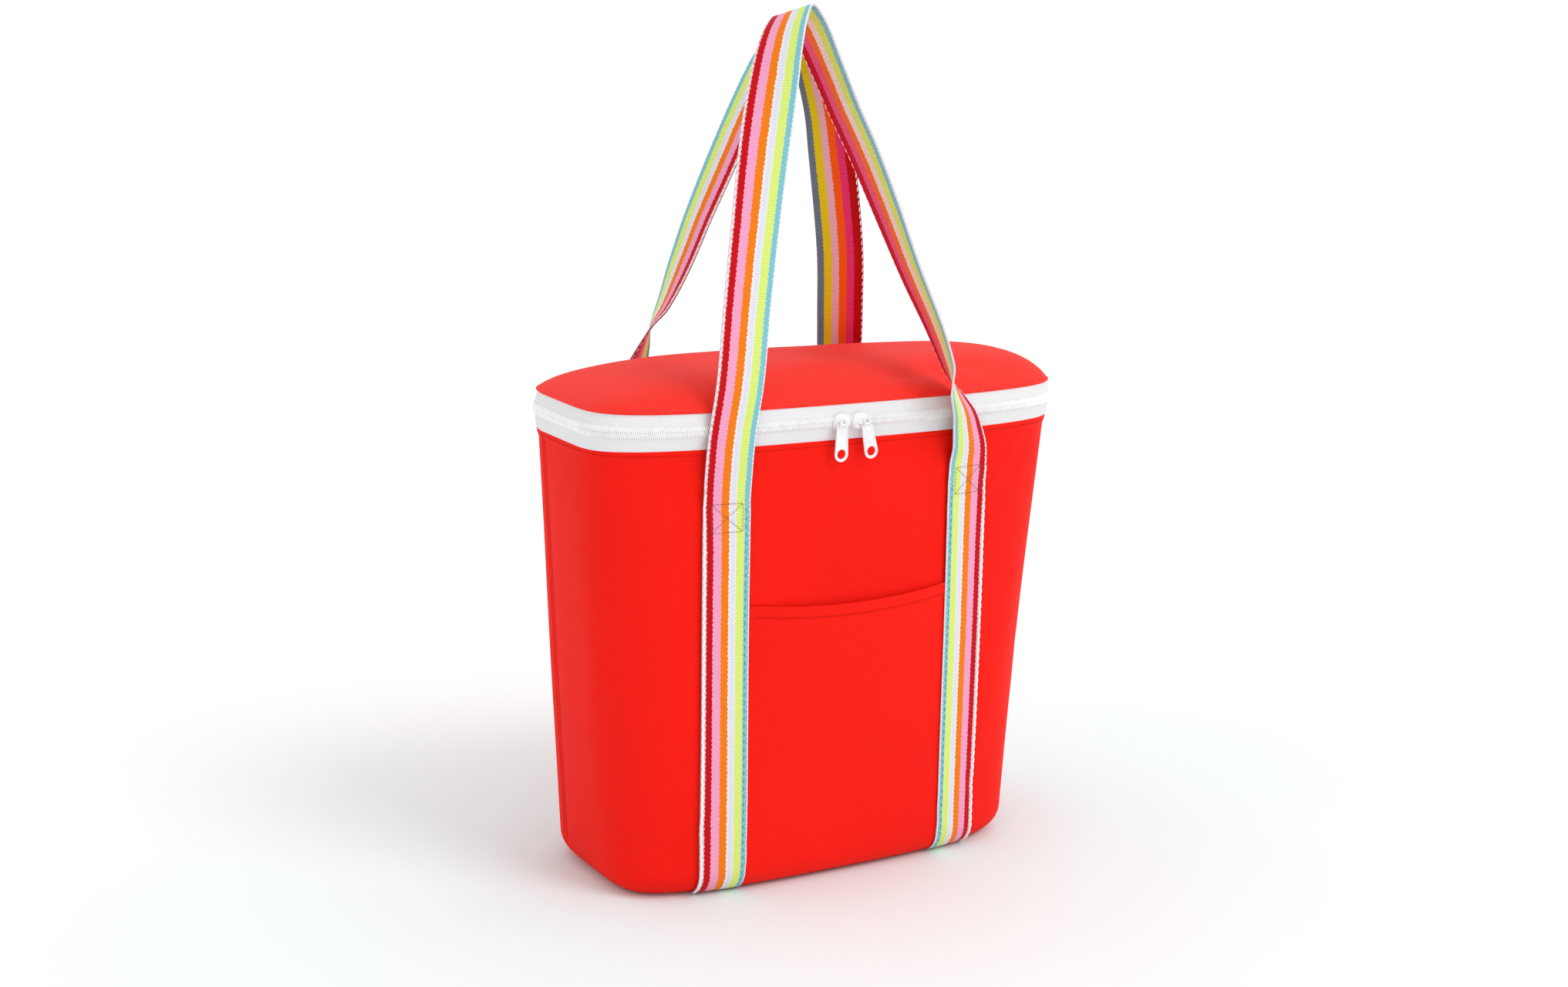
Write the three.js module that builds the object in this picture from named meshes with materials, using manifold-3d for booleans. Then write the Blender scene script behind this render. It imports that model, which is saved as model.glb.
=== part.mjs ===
// Insulated cooler bag: soft zipped tote with a padded lid, foam walls, a foil tub and two webbing handles.
// Millimetres, +Z up, front towards -Y. Origin: centre of the flat base on the surface it stands on.
import * as THREE from 'three';
import { mergeVertices } from 'three/addons/utils/BufferGeometryUtils.js';
import Module from 'manifold-3d';

// ---------------------------------------------------------------- driving dimensions
const BASE_HALF_LENGTH = 181;       // plan outline at the base, half length along X
const BASE_HALF_DEPTH = 88;         // half depth along Y
const BODY_TOP_HALF_LENGTH = 207;   // plan outline of the fabric body where the zip band starts
const BODY_TOP_HALF_DEPTH = 84.5;
const BODY_TOP = 351;               // height of the body's upper edge
const LID_HALF_LENGTH = 207.5;      // plan outline of the lid seam
const LID_HALF_DEPTH = 87;
const LID_SEAM = 378.5;             // height of the seam between zip band and lid
const LID_DOME = 22;                // crown of the lid above its seam
const LID_DOME_FULLNESS = 4.2;      // how far the crown stays full towards the edge
const PARTING = 365;                // height where the two rows of zip coil meet
const OUTLINE_END_POWER = 2.85;     // roundness of the ends
const OUTLINE_SIDE_POWER = 4.9;     // flatness of the long sides

const FABRIC = 0.9;                 // outer polyester
const FOAM = 5;                     // insulating foam
const LINER = 0.6;                  // foil liner
const CLEARANCE = 0.3;              // gap between neighbouring solids
const BASE_BOARD = 2.2;             // stiffened outer base
const CURL = 10;                    // radius of the body's turn-in at the base

const WEBBING_WIDTH = 38;
const WEBBING = 1.6;                // webbing thickness
const STRAP_X = 107.5;              // strap centre from the middle of the bag, at STRAP_X_HEIGHT
const STRAP_X_HEIGHT = 75;
const STRAP_LEAN = -0.0155;         // sideways drift of the sewn webbing per millimetre of height
const STRAP_FOOT = 6;               // lowest point of the sewn straps
const BOX_STITCH_TOP = 308;         // straps are sewn down from here
const TAB_TOP = 326;                // fold line above the box stitch

const COIL = 2.8;                   // height of one row of zip coil
const COIL_DEPTH = 3;
const PARTING_GAP = 1.2;            // between the two rows, where the slider's post runs
const TAPE = 1.0;                   // zip tape thickness
const BAND_BULGE = 6;               // how far the coil stands out from the straight body taper
const ZIP_END_X = 165;              // zip ends on the back, measured from the middle

const SLIDERS_X = [-17.6, -1.4];     // parked slider centres
const SLIDER_LENGTH = 11.5;
const SLIDER_HEIGHT = 10;
const SLIDER_BODY = 2.4;            // thickness of the slider's front plate
const BAR = 0.9;                    // radius of the bar that carries the pull
const BAR_OUT = 2.2;                // from the slider's plate to the middle of the bar
const BAR_HEIGHT = PARTING - 1;
const POST = 1.4;                   // width of the posts at the bar's ends
const POST_X = 4.3;
const KNUCKLE = 1.9;                // radius of the pull's knuckle
const KNUCKLE_LENGTH = 6.4;
const PULL_LENGTH = 30;
const PULL_WIDTH = 11;
const PULL = 1.5;                   // pull thickness
const PULL_HOLE = 3.6;              // radius of the hole in the pull

const POCKET_TOP = 229;             // pocket mouth at the straps
const POCKET_DIP = 5;               // how far the mouth dips in the middle
const POCKET_HALF_LENGTH = 84;

const HALF_STEPS = 28;              // stations along half of the plan outline

// ---------------------------------------------------------------- materials
function finish(color, roughness, metalness = 0) {
  return new THREE.MeshStandardMaterial({ color, roughness, metalness });
}

const RED = finish(0xf52213, 0.7);
const LID_RED = finish(0xfa3325, 0.7);
const WHITE_TAPE = finish(0xf2f2f4, 0.75);
const WHITE_PLASTIC = finish(0xf6f6f6, 0.35);
const FOAM_GREY = finish(0xe4e6ea, 0.9);
const FOIL = finish(0xc9ccd1, 0.3, 0.8);
const STRIPES = finish(0xe98a5a, 0.8);
const BINDING = finish(0xd81f14, 0.7);

const bag = new THREE.Group();

function place(name, geometry, material, parent = bag) {
  const mesh = new THREE.Mesh(geometry, material);
  mesh.name = name;
  parent.add(mesh);
  return mesh;
}

// ---------------------------------------------------------------- sweeping a section
// Joins a row of sections, each a closed loop of points, into one closed solid. A closed path joins its
// last section to its first, and an open one gets its ends filled by strips across the loop, so a section
// lists one side from end to end and then the other side back, with an even number of points. The quads of
// the two sides are cut along matching diagonals, so that nested walls stay parallel.
function sweep(sections, closedPath = false) {
  const count = sections.length;
  const size = sections[0].length;
  const positions = sections.flat().flatMap((p) => [p.x, p.y, p.z]);
  const triangles = [];
  const spans = closedPath ? count : count - 1;
  for (let i = 0; i < spans; i += 1) {
    const here = i * size;
    const next = ((i + 1) % count) * size;
    for (let j = 0; j < size; j += 1) {
      const k = (j + 1) % size;
      if (j < size / 2) triangles.push(here + j, next + j, next + k, here + j, next + k, here + k);
      else triangles.push(here + j, next + j, here + k, next + j, next + k, here + k);
    }
  }
  if (!closedPath) {
    const last = (count - 1) * size;
    for (let j = 0; j < size / 2 - 1; j += 1) {
      const across = size - 2 - j;
      triangles.push(j, j + 1, across, j, across, across + 1);
      triangles.push(last + across, last + j + 1, last + j, last + across + 1, last + across, last + j);
    }
  }
  const geometry = new THREE.BufferGeometry();
  geometry.setAttribute('position', new THREE.Float32BufferAttribute(positions, 3));
  geometry.setIndex(triangles);
  return facingOut(geometry);
}

// Turns a closed mesh the right way out by the sign of its volume.
function facingOut(geometry) {
  const p = geometry.getAttribute('position');
  const index = geometry.getIndex();
  const [a, b, c] = [new THREE.Vector3(), new THREE.Vector3(), new THREE.Vector3()];
  let volume = 0;
  for (let i = 0; i < index.count; i += 3) {
    a.fromBufferAttribute(p, index.getX(i));
    b.fromBufferAttribute(p, index.getX(i + 1));
    c.fromBufferAttribute(p, index.getX(i + 2));
    volume += a.dot(b.cross(c));
  }
  if (volume < 0) {
    for (let i = 0; i < index.count; i += 3) {
      const first = index.getX(i);
      index.setX(i, index.getX(i + 2));
      index.setX(i + 2, first);
    }
  }
  geometry.computeVertexNormals();
  return geometry;
}

// ---------------------------------------------------------------- plan outlines
// Point of the plan outline at angle t, and its outward normal. t = 0 is the +X end, and t = -90 degrees
// the middle of the front.
function outlinePoint(t, halfLength, halfDepth) {
  const c = Math.cos(t);
  const s = Math.sin(t);
  let reach = 1 / Math.max(Math.abs(c), Math.abs(s));
  for (let i = 0; i < 12; i += 1) {
    const ends = Math.abs(reach * c) ** OUTLINE_END_POWER;
    const sides = Math.abs(reach * s) ** OUTLINE_SIDE_POWER;
    reach -= (reach * (ends + sides - 1)) / (OUTLINE_END_POWER * ends + OUTLINE_SIDE_POWER * sides);
  }
  return new THREE.Vector2(halfLength * reach * c, halfDepth * reach * s);
}

function outlineNormal(t, halfLength, halfDepth) {
  const step = 0.01;
  const before = outlinePoint(t - step, halfLength, halfDepth);
  const after = outlinePoint(t + step, halfLength, halfDepth);
  return new THREE.Vector2(after.y - before.y, before.x - after.x).normalize();
}

// Angles at even distances along the outline, from its angles at fine steps.
const FINE_STEPS = 1440;
const fineLengths = [0];
for (let i = 1; i <= FINE_STEPS; i += 1) {
  const angle = (step) => (2 * Math.PI * step) / FINE_STEPS;
  const here = outlinePoint(angle(i), LID_HALF_LENGTH, LID_HALF_DEPTH);
  const before = outlinePoint(angle(i - 1), LID_HALF_LENGTH, LID_HALF_DEPTH);
  fineLengths.push(fineLengths[i - 1] + here.distanceTo(before));
}
const PERIMETER = fineLengths[FINE_STEPS];

// The angle at a share of the way round: 0 is the +X end, 0.25 the back, 0.5 the -X end and 0.75 the front.
function angleAt(share) {
  const turns = Math.floor(share);
  const length = (share - turns) * PERIMETER;
  const i = Math.max(1, fineLengths.findIndex((l) => l >= length));
  const step = THREE.MathUtils.mapLinear(length, fineLengths[i - 1], fineLengths[i], i - 1, i);
  return 2 * Math.PI * (turns + step / FINE_STEPS);
}

// Depth of the outline's front at a place along X, before any inset.
function frontDepth(x, halfLength, halfDepth) {
  const rest = 1 - (Math.abs(x) / halfLength) ** OUTLINE_END_POWER;
  return halfDepth * rest ** (1 / OUTLINE_SIDE_POWER);
}

function bodySize(z) {
  const rise = z / BODY_TOP;
  return [
    THREE.MathUtils.lerp(BASE_HALF_LENGTH, BODY_TOP_HALF_LENGTH, rise),
    THREE.MathUtils.lerp(BASE_HALF_DEPTH, BODY_TOP_HALF_DEPTH, rise),
  ];
}

// How far the body has turned in at the base: a quarter round, in straight steps between CURL_LEVELS.
const SHELL_BOTTOM = BASE_BOARD + CLEARANCE;
const CURL_LEVELS = [SHELL_BOTTOM, 5, 8, CURL];

function curlInset(z) {
  const round = (level) => CURL - Math.sqrt(CURL ** 2 - (CURL - level) ** 2);
  const above = CURL_LEVELS.findIndex((level) => level >= z);
  if (above < 0) return 0;
  if (above === 0) return round(SHELL_BOTTOM);
  const [low, high] = [CURL_LEVELS[above - 1], CURL_LEVELS[above]];
  return THREE.MathUtils.mapLinear(z, low, high, round(low), round(high));
}

// The heights where a part of the body between two heights changes its slope.
const levelsBetween = (low, high) => [low, ...CURL_LEVELS.filter((z) => z > low + 0.5 && z < high), high];

// The zip band's outline: from the body's top edge out over the coil to the lid seam.
function bandSize(z) {
  const rise = (z - BODY_TOP) / (LID_SEAM - BODY_TOP);
  const bulge = BAND_BULGE * Math.sin(Math.PI * rise) * 0.55;
  return [
    THREE.MathUtils.lerp(BODY_TOP_HALF_LENGTH + 2, LID_HALF_LENGTH, rise) + bulge * 0.35,
    THREE.MathUtils.lerp(BODY_TOP_HALF_DEPTH + 1, LID_HALF_DEPTH, rise) + bulge * 0.5,
  ];
}

// Angles from one share of the way round to another, evenly spread, with a gap in millimetres at each end.
const FRONT_ARC = [0.5, 1];
const BACK_ARC = [0, 0.5];

function arcSteps([from, to], steps = HALF_STEPS, gap = CLEARANCE / 2) {
  const start = from + gap / PERIMETER;
  const end = to - gap / PERIMETER;
  return Array.from({ length: steps + 1 }, (_, i) => angleAt(start + ((end - start) * i) / steps));
}

const wholeOutline = () => arcSteps([0, 1], 2 * HALF_STEPS, 0).slice(0, -1);

// A wall that follows an outline: profile is a closed list of [height, inset].
function wall(angles, profile, sizeAt, closedPath = false) {
  return sweep(angles.map((t) => profile.map(([z, inset]) => {
    const [halfLength, halfDepth] = sizeAt(z);
    const p = outlinePoint(t, halfLength, halfDepth);
    const n = outlineNormal(t, halfLength, halfDepth);
    return new THREE.Vector3(p.x - n.x * inset, p.y - n.y * inset, z);
  })), closedPath);
}

// ---------------------------------------------------------------- body shell, foam and liner
const FOAM_INSET = FABRIC + CLEARANCE;
const LINER_INSET = FOAM_INSET + FOAM + CLEARANCE;
const FOAM_BOTTOM = SHELL_BOTTOM + 0.2;
const FLOOR_TOP = FOAM_BOTTOM + FOAM;
const LINER_BOTTOM = FLOOR_TOP + CLEARANCE;
const LINER_TOP = LINER_BOTTOM + LINER;

// Half of the body's wall between two heights, with its outer face set in from the body's side.
function bodyWall(arc, low, high, inset, thickness) {
  const levels = levelsBetween(low, high);
  const outer = levels.map((z) => [z, curlInset(z) + inset]);
  const inner = levels.slice().reverse().map((z) => [z, curlInset(z) + inset + thickness]);
  return wall(arcSteps(arc), [...outer, ...inner], bodySize);
}

for (const [side, arc] of [['front', FRONT_ARC], ['back', BACK_ARC]]) {
  place(`${side}_panel`, bodyWall(arc, SHELL_BOTTOM, BODY_TOP, 0, FABRIC), RED);
  place(`foam_${side}`, bodyWall(arc, FLOOR_TOP + CLEARANCE, BODY_TOP - 1, FOAM_INSET, FOAM), FOAM_GREY);
  place(`liner_${side}`, bodyWall(arc, LINER_TOP + CLEARANCE, BODY_TOP, LINER_INSET, LINER), FOIL);
}

// A flat slab that fills the outline between two heights, set in from the body's side.
function slab(low, high, insetLow, insetHigh) {
  const angles = wholeOutline();
  const ring = (z, inset) => angles.map((t) => {
    const [halfLength, halfDepth] = bodySize(z);
    const p = outlinePoint(t, halfLength, halfDepth);
    const n = outlineNormal(t, halfLength, halfDepth);
    return new THREE.Vector3(p.x - n.x * inset, p.y - n.y * inset, z);
  });
  return sweep([ring(low, insetLow), ring(high, insetHigh)]);
}

const LINER_FLOOR_INSET = curlInset(LINER_BOTTOM) + LINER_INSET;
const BASE_INSET = curlInset(SHELL_BOTTOM) - 1;
place('base_panel', slab(0, BASE_BOARD, BASE_INSET + 0.8, BASE_INSET), RED);
const FOAM_FLOOR_INSET = curlInset(FOAM_BOTTOM) + 2;
place('foam_base', slab(FOAM_BOTTOM, FLOOR_TOP, FOAM_FLOOR_INSET, FOAM_FLOOR_INSET), FOAM_GREY);
place('liner_base', slab(LINER_BOTTOM, LINER_TOP, LINER_FLOOR_INSET, LINER_FLOOR_INSET), FOIL);

// Binding tape over the raw edges of foam and liner, inside the rim.
function rimBinding(low, high) {
  const inset = LINER_INSET + LINER + CLEARANCE;
  const profile = [[low, inset], [high, inset], [high, inset + 1], [low, inset + 1]];
  return wall(wholeOutline(), profile, bodySize, true);
}

place('rim_binding', rimBinding(BODY_TOP - 13, BODY_TOP - 1), BINDING);

// Bindings inside the bag that cover the two side seams of the liner.
function sideBinding(sign) {
  const levels = [LINER_BOTTOM + 8, BODY_TOP - 14];
  const inset = LINER_INSET + LINER + CLEARANCE;
  return sweep(levels.map((z) => {
    const [halfLength] = bodySize(z);
    const outer = sign * (halfLength - inset - curlInset(z));
    const inner = outer - sign * 0.9;
    return [[outer, -5], [outer, 5], [inner, 5], [inner, -5]].map(([x, y]) => new THREE.Vector3(x, y, z));
  }));
}

place('side_binding_left', sideBinding(-1), BINDING);
place('side_binding_right', sideBinding(1), BINDING);

// ---------------------------------------------------------------- zip band
const LOWER_COIL = [PARTING - PARTING_GAP / 2 - COIL, PARTING - PARTING_GAP / 2];
const UPPER_COIL = [PARTING + PARTING_GAP / 2, PARTING + PARTING_GAP / 2 + COIL];

// The zip runs over both ends and the front; the rest of the band, at the back, is the lid's hinge strip.
const HINGE_SHARE = (2 * ZIP_END_X) / PERIMETER;
const HINGE_ARC = [0.25 - HINGE_SHARE / 2, 0.25 + HINGE_SHARE / 2];
const ZIP_ARC = [HINGE_ARC[1], 1 + HINGE_ARC[0]];
const zipAngles = arcSteps(ZIP_ARC, 2 * HALF_STEPS - 14);
const stripAngles = arcSteps(HINGE_ARC, 14);

function bandStrip(angles, low, high, thickness) {
  const levels = [low, (low + high) / 2, high];
  const outer = levels.map((z) => [z, 0]);
  const inner = levels.slice().reverse().map((z) => [z, thickness]);
  return wall(angles, [...outer, ...inner], bandSize);
}

const LOWER_TAPE = [BODY_TOP + CLEARANCE, LOWER_COIL[0] - CLEARANCE];
const UPPER_TAPE = [UPPER_COIL[1] + CLEARANCE, LID_SEAM - CLEARANCE];
const HINGE_GAP = 0.5;              // from the hinge line to the edge of each hinge strip
const LOWER_HINGE = [BODY_TOP + CLEARANCE, PARTING - HINGE_GAP];
const UPPER_HINGE = [PARTING + HINGE_GAP, LID_SEAM - CLEARANCE];

place('lower_zip_tape', bandStrip(zipAngles, ...LOWER_TAPE, TAPE), WHITE_TAPE);
place('lower_zip_coil', bandStrip(zipAngles, ...LOWER_COIL, COIL_DEPTH), WHITE_PLASTIC);
place('lower_hinge_strip', bandStrip(stripAngles, ...LOWER_HINGE, TAPE), WHITE_TAPE);

const lid = new THREE.Group();
bag.add(lid);
place('upper_zip_tape', bandStrip(zipAngles, ...UPPER_TAPE, TAPE), WHITE_TAPE, lid);
place('upper_zip_coil', bandStrip(zipAngles, ...UPPER_COIL, COIL_DEPTH), WHITE_PLASTIC, lid);
place('upper_hinge_strip', bandStrip(stripAngles, ...UPPER_HINGE, TAPE), WHITE_TAPE, lid);

// ---------------------------------------------------------------- lid
// Height of the lid's upper face where the outline has shrunk to the given share of its size.
const LID_EDGE = LID_SEAM + FABRIC + CLEARANCE;
const domeHeight = (share) => LID_EDGE + LID_DOME * (1 - share ** LID_DOME_FULLNESS);
const LID_SHARES = [1, 0.97, 0.9, 0.75, 0.5, 0.25];

// A domed sheet between two depths below the lid's face, with its edge set in from the seam.
function lidLayer(depth, thickness, inset) {
  const angles = wholeOutline();
  const ring = (share, drop) => angles.map((t) => {
    const p = outlinePoint(t, (LID_HALF_LENGTH - inset) * share, (LID_HALF_DEPTH - inset) * share);
    return new THREE.Vector3(p.x, p.y, domeHeight(share) - drop);
  });
  const inward = LID_SHARES.map((share) => ring(share, depth));
  const outward = LID_SHARES.slice().reverse().map((share) => ring(share, depth + thickness));
  return sweep([...inward.reverse(), ...outward.reverse()]);
}

const LID_FOAM_DEPTH = FABRIC + CLEARANCE;
const LID_LINER_DEPTH = LID_FOAM_DEPTH + FOAM + CLEARANCE;
place('lid_panel', lidLayer(0, FABRIC, 0), LID_RED, lid);
place('lid_foam', lidLayer(LID_FOAM_DEPTH, FOAM, 5), FOAM_GREY, lid);
place('lid_liner', lidLayer(LID_LINER_DEPTH, LINER, 6), FOIL, lid);

// ---------------------------------------------------------------- zip ends
// Stitched patches that close the two ends of the zip, on the back of the band.
const PATCH = 0.8;

function zipStop(arcEnd, inward) {
  const shares = [4, 9, 14].map((distance) => arcEnd + (inward * distance) / PERIMETER);
  const [low, high] = [BODY_TOP + 4, LOWER_COIL[1] - 0.2];
  const near = -CLEARANCE;
  const far = near - PATCH;
  return wall(shares.map(angleAt), [[low, near], [high, near], [high, far], [low, far]], bandSize);
}

place('zip_stop_left', zipStop(ZIP_ARC[0], 1), WHITE_TAPE);
place('zip_stop_right', zipStop(ZIP_ARC[1], -1), WHITE_TAPE);

// ---------------------------------------------------------------- pocket on the front
const onFront = (x, z, out) => {
  const [halfLength, halfDepth] = bodySize(z);
  return new THREE.Vector3(x, -(frontDepth(x, halfLength, halfDepth) - curlInset(z)) - out, z);
};

function pocketPanel() {
  const steps = 16;
  return sweep(Array.from({ length: steps + 1 }, (_, i) => {
    const x = -POCKET_HALF_LENGTH + (2 * POCKET_HALF_LENGTH * i) / steps;
    const top = POCKET_TOP - POCKET_DIP * (1 - (x / POCKET_HALF_LENGTH) ** 2);
    const levels = levelsBetween(STRAP_FOOT, top);
    const inner = levels.map((z) => onFront(x, z, CLEARANCE));
    const outer = levels.slice().reverse().map((z) => onFront(x, z, CLEARANCE + FABRIC));
    return [...inner, ...outer];
  }));
}

place('pocket_panel', pocketPanel(), RED);

// ---------------------------------------------------------------- webbing
const strapX = (side, z) => side * STRAP_X + STRAP_LEAN * (z - STRAP_X_HEIGHT);

const STRAP_OUT = 2 * CLEARANCE + FABRIC;  // the front straps lie over the pocket's side edges
const REAR_STRAP_OUT = 0.8;

// Webbing that lies on the body from the base seam up to the box stitch. face is -1 on the front and 1 on
// the back.
function sewnStrap(side, face) {
  const levels = levelsBetween(STRAP_FOOT, BOX_STITCH_TOP);
  const across = [-0.5, -0.25, 0, 0.25, 0.5];
  return sweep(levels.map((z) => {
    const point = (share, out) => {
      const p = onFront(strapX(side, z) + share * WEBBING_WIDTH, z, out);
      return new THREE.Vector3(p.x, -face * p.y, z);
    };
    const gap = face < 0 ? STRAP_OUT : REAR_STRAP_OUT;
    const near = across.map((share) => point(share, gap));
    const far = across.slice().reverse().map((share) => point(share, gap + WEBBING));
    return [...near, ...far];
  }));
}

for (const [side, name] of [[-1, 'left'], [1, 'right']]) {
  place(`front_${name}_strap`, sewnStrap(side, -1), STRIPES);
  place(`rear_${name}_strap`, sewnStrap(side, 1), STRIPES);
}

// A ribbon of webbing along stations of [x, y, z, turn, tilt]: the middle of the webbing, the direction of
// its width in plan (degrees from +X towards -Y) and that direction's rise (degrees).
function ribbon(stations, steps) {
  const middles = stations.map(([x, y, z]) => new THREE.Vector3(x, y, z));
  const path = new THREE.CatmullRomCurve3(middles, false, 'centripetal');
  const angles = new THREE.CatmullRomCurve3(
    stations.map(([, , , turn, tilt]) => new THREE.Vector3(turn, tilt, 0)),
    false,
    'catmullrom',
    0.4,
  );
  const sections = [];
  for (let i = 0; i <= steps; i += 1) {
    const u = i / steps;
    const middle = path.getPoint(u);
    const { x: turn, y: tilt } = angles.getPoint(u);
    const turnBy = THREE.MathUtils.degToRad(turn);
    const tiltBy = THREE.MathUtils.degToRad(tilt);
    const tangent = path.getTangent(u);
    const width = new THREE.Vector3(
      Math.cos(turnBy) * Math.cos(tiltBy),
      -Math.sin(turnBy) * Math.cos(tiltBy),
      Math.sin(tiltBy),
    );
    const normal = width.clone().cross(tangent).normalize();
    const corner = (w, n) => middle.clone()
      .addScaledVector(width, (w * WEBBING_WIDTH) / 2)
      .addScaledVector(normal, (n * WEBBING) / 2);
    sections.push([corner(-1, -1), corner(1, -1), corner(1, 1), corner(-1, 1)]);
  }
  return sweep(sections);
}

// Short free lengths between the box stitches and the fold line, one for each strap.
const TAB_END_Y = 85.5;
const tabY = (side, z, face) => face * (frontDepth(strapX(side, z), ...bodySize(z)) + 2.3);

function tab(side, face) {
  const low = BOX_STITCH_TOP + 0.6;
  const high = TAB_TOP - 0.3;
  const outFace = face < 0 ? 1 : -1;
  const slope = side * outFace;
  const start = [strapX(side, low), tabY(side, low, face), low, -slope * 5.5, 0];
  const end = [strapX(side, high), face * TAB_END_Y, high, -slope * 7, 0];
  return ribbon([start, end], 3);
}

for (const [side, name] of [[-1, 'left'], [1, 'right']]) {
  place(`front_${name}_tab`, tab(side, -1), STRIPES);
  place(`rear_${name}_tab`, tab(side, 1), STRIPES);
}

const LOOP_START = TAB_TOP + 0.5;
const FRONT_LOOP = [
  [strapX(-1, LOOP_START), -TAB_END_Y, LOOP_START, 7, 0],
  [-111, -89, 361, 6, -2],
  [-106, -90, 400, 6, -2],
  [-97, -81, 454, 7, -2],
  [-86, -70, 508, 11, -1],
  [-73, -57, 563, 22, 0],
  [-60, -45, 608, 40, 3],
  [-49, -35, 639, 54, 8],
  [-38, -25, 656, 62, 13],
  [-24, -13, 664, 69, 17],
  [-7, -6, 652, 76, 18],
  [13, -1, 623, 82, 19],
  [26, -9, 590, 85, 19],
  [37, -20, 560, 87, 20],
  [48, -38, 519, 91, 19],
  [58, -61, 472, 99, 18],
  [67, -86, 429, 106, 17],
  [72, -98, 403, 112, 14],
  [75, -102, 389, 128, 11],
  [80, -101, 380, 141, 8],
  [90, -97, 366, 153, 6],
  [97, -92, 352, 161, 4],
  [102, -88.5, 337, 168, 1],
  [strapX(1, LOOP_START), -TAB_END_Y, LOOP_START, 173, 0],
];
const REAR_LOOP = [
  [strapX(-1, LOOP_START), TAB_END_Y, LOOP_START, -7, 0],
  [-106, 89, 350, -10, 0],
  [-98, 97, 372, -24, -2],
  [-91, 95, 393, -44, -3],
  [-85, 91, 414, -63, -6],
  [-79, 84, 430, -76, -3],
  [-68, 75, 467, -88, 4],
  [-59, 66, 502, -93, 6],
  [-47, 54, 544, -97, 8],
  [-32, 45, 588, -98, 5],
  [-16, 39, 626, -98, 1],
  [-6, 36, 642, -99, -4],
  [6, 35, 651, -102, -9],
  [17, 36, 642, -108, -11],
  [29, 38, 615, -117, -8],
  [41, 41, 583, -126, -3],
  [51, 48, 552, -134, -3],
  [64, 58, 511, -144, -2],
  [77, 70, 467, -149, -2],
  [88, 84, 412, -153, -3],
  [96, 94, 380, -160, -2],
  [102, 91, 352, -168, 0],
  [strapX(1, LOOP_START), TAB_END_Y, LOOP_START, -173, 0],
];
place('front_handle_loop', ribbon(FRONT_LOOP, 72), STRIPES);
place('rear_handle_loop', ribbon(REAR_LOOP, 72), STRIPES);

// ---------------------------------------------------------------- sliders and pulls
const wasm = await Module();
wasm.setup();

// A closed geometry as a solid for joining and cutting, and a solid as a geometry again.
function solid(geometry) {
  const bare = geometry.clone();
  bare.deleteAttribute('normal');
  bare.deleteAttribute('uv');
  const merged = mergeVertices(bare);
  return new wasm.Manifold(new wasm.Mesh({
    numProp: 3,
    vertProperties: new Float32Array(merged.getAttribute('position').array),
    triVerts: new Uint32Array(merged.getIndex().array),
  }));
}

function toGeometry(manifold) {
  const { vertProperties, triVerts } = manifold.getMesh();
  const geometry = new THREE.BufferGeometry();
  geometry.setAttribute('position', new THREE.BufferAttribute(vertProperties, 3));
  geometry.setIndex(new THREE.BufferAttribute(triVerts, 1));
  geometry.computeVertexNormals();
  return geometry;
}

function box(width, depth, height, x, y, z) {
  return solid(new THREE.BoxGeometry(width, depth, height).translate(x, y, z));
}

// A rod along X.
function rod(radius, length, x, y, z) {
  const upright = new THREE.CylinderGeometry(radius, radius, length, 16);
  return solid(upright.rotateZ(Math.PI / 2).translate(x, y, z));
}

// Stands a flat outline up in the XZ plane and gives it thickness towards the front.
function plate(shape, thickness, curveSegments) {
  return solid(new THREE.ExtrudeGeometry(shape, { depth: thickness, bevelEnabled: false, curveSegments })
    .rotateX(Math.PI / 2));
}

// The slider's front plate with rounded corners, and a bar on two posts that carries the pull.
function slider(x, face) {
  const [w, h, r] = [SLIDER_LENGTH / 2, SLIDER_HEIGHT / 2, 3];
  const shape = new THREE.Shape();
  shape.absarc(w - r, -h + r, r, -Math.PI / 2, 0);
  shape.absarc(w - r, h - r, r, 0, Math.PI / 2);
  shape.absarc(-w + r, h - r, r, Math.PI / 2, Math.PI);
  shape.absarc(-w + r, -h + r, r, Math.PI, 1.5 * Math.PI);
  const overlap = 0.5;
  const postDepth = BAR_OUT + BAR + overlap;
  const post = (side) => box(
    POST,
    postDepth,
    2 * BAR,
    x + side * POST_X,
    face - SLIDER_BODY + overlap - postDepth / 2,
    BAR_HEIGHT,
  );
  return plate(shape, SLIDER_BODY, 4).translate([x, face, PARTING])
    .add(post(-1))
    .add(post(1))
    .add(rod(BAR, 2 * POST_X, x, face - SLIDER_BODY - BAR_OUT, BAR_HEIGHT));
}

// The pull: a flat tongue with a round end and a large hole, hung from a knuckle round the slider's bar.
function pull(x, y) {
  const half = PULL_WIDTH / 2;
  const neck = KNUCKLE_LENGTH / 2;
  const shape = new THREE.Shape();
  shape.moveTo(neck, 0);
  shape.lineTo(-neck, 0);
  shape.lineTo(-half, -6);
  shape.absarc(0, -PULL_LENGTH + half, half, Math.PI, 2 * Math.PI);
  shape.lineTo(half, -6);
  const hole = new THREE.Path();
  hole.absarc(0, -PULL_LENGTH + half, PULL_HOLE, 0, 2 * Math.PI, true);
  shape.holes.push(hole);
  return plate(shape, PULL, 8).translate([x, y + PULL / 2, BAR_HEIGHT])
    .add(rod(KNUCKLE, KNUCKLE_LENGTH, x, y, BAR_HEIGHT))
    .subtract(rod(BAR + CLEARANCE, KNUCKLE_LENGTH + 1, x, y, BAR_HEIGHT));
}

const bandFront = (x, z) => -frontDepth(x, ...bandSize(z));

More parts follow.
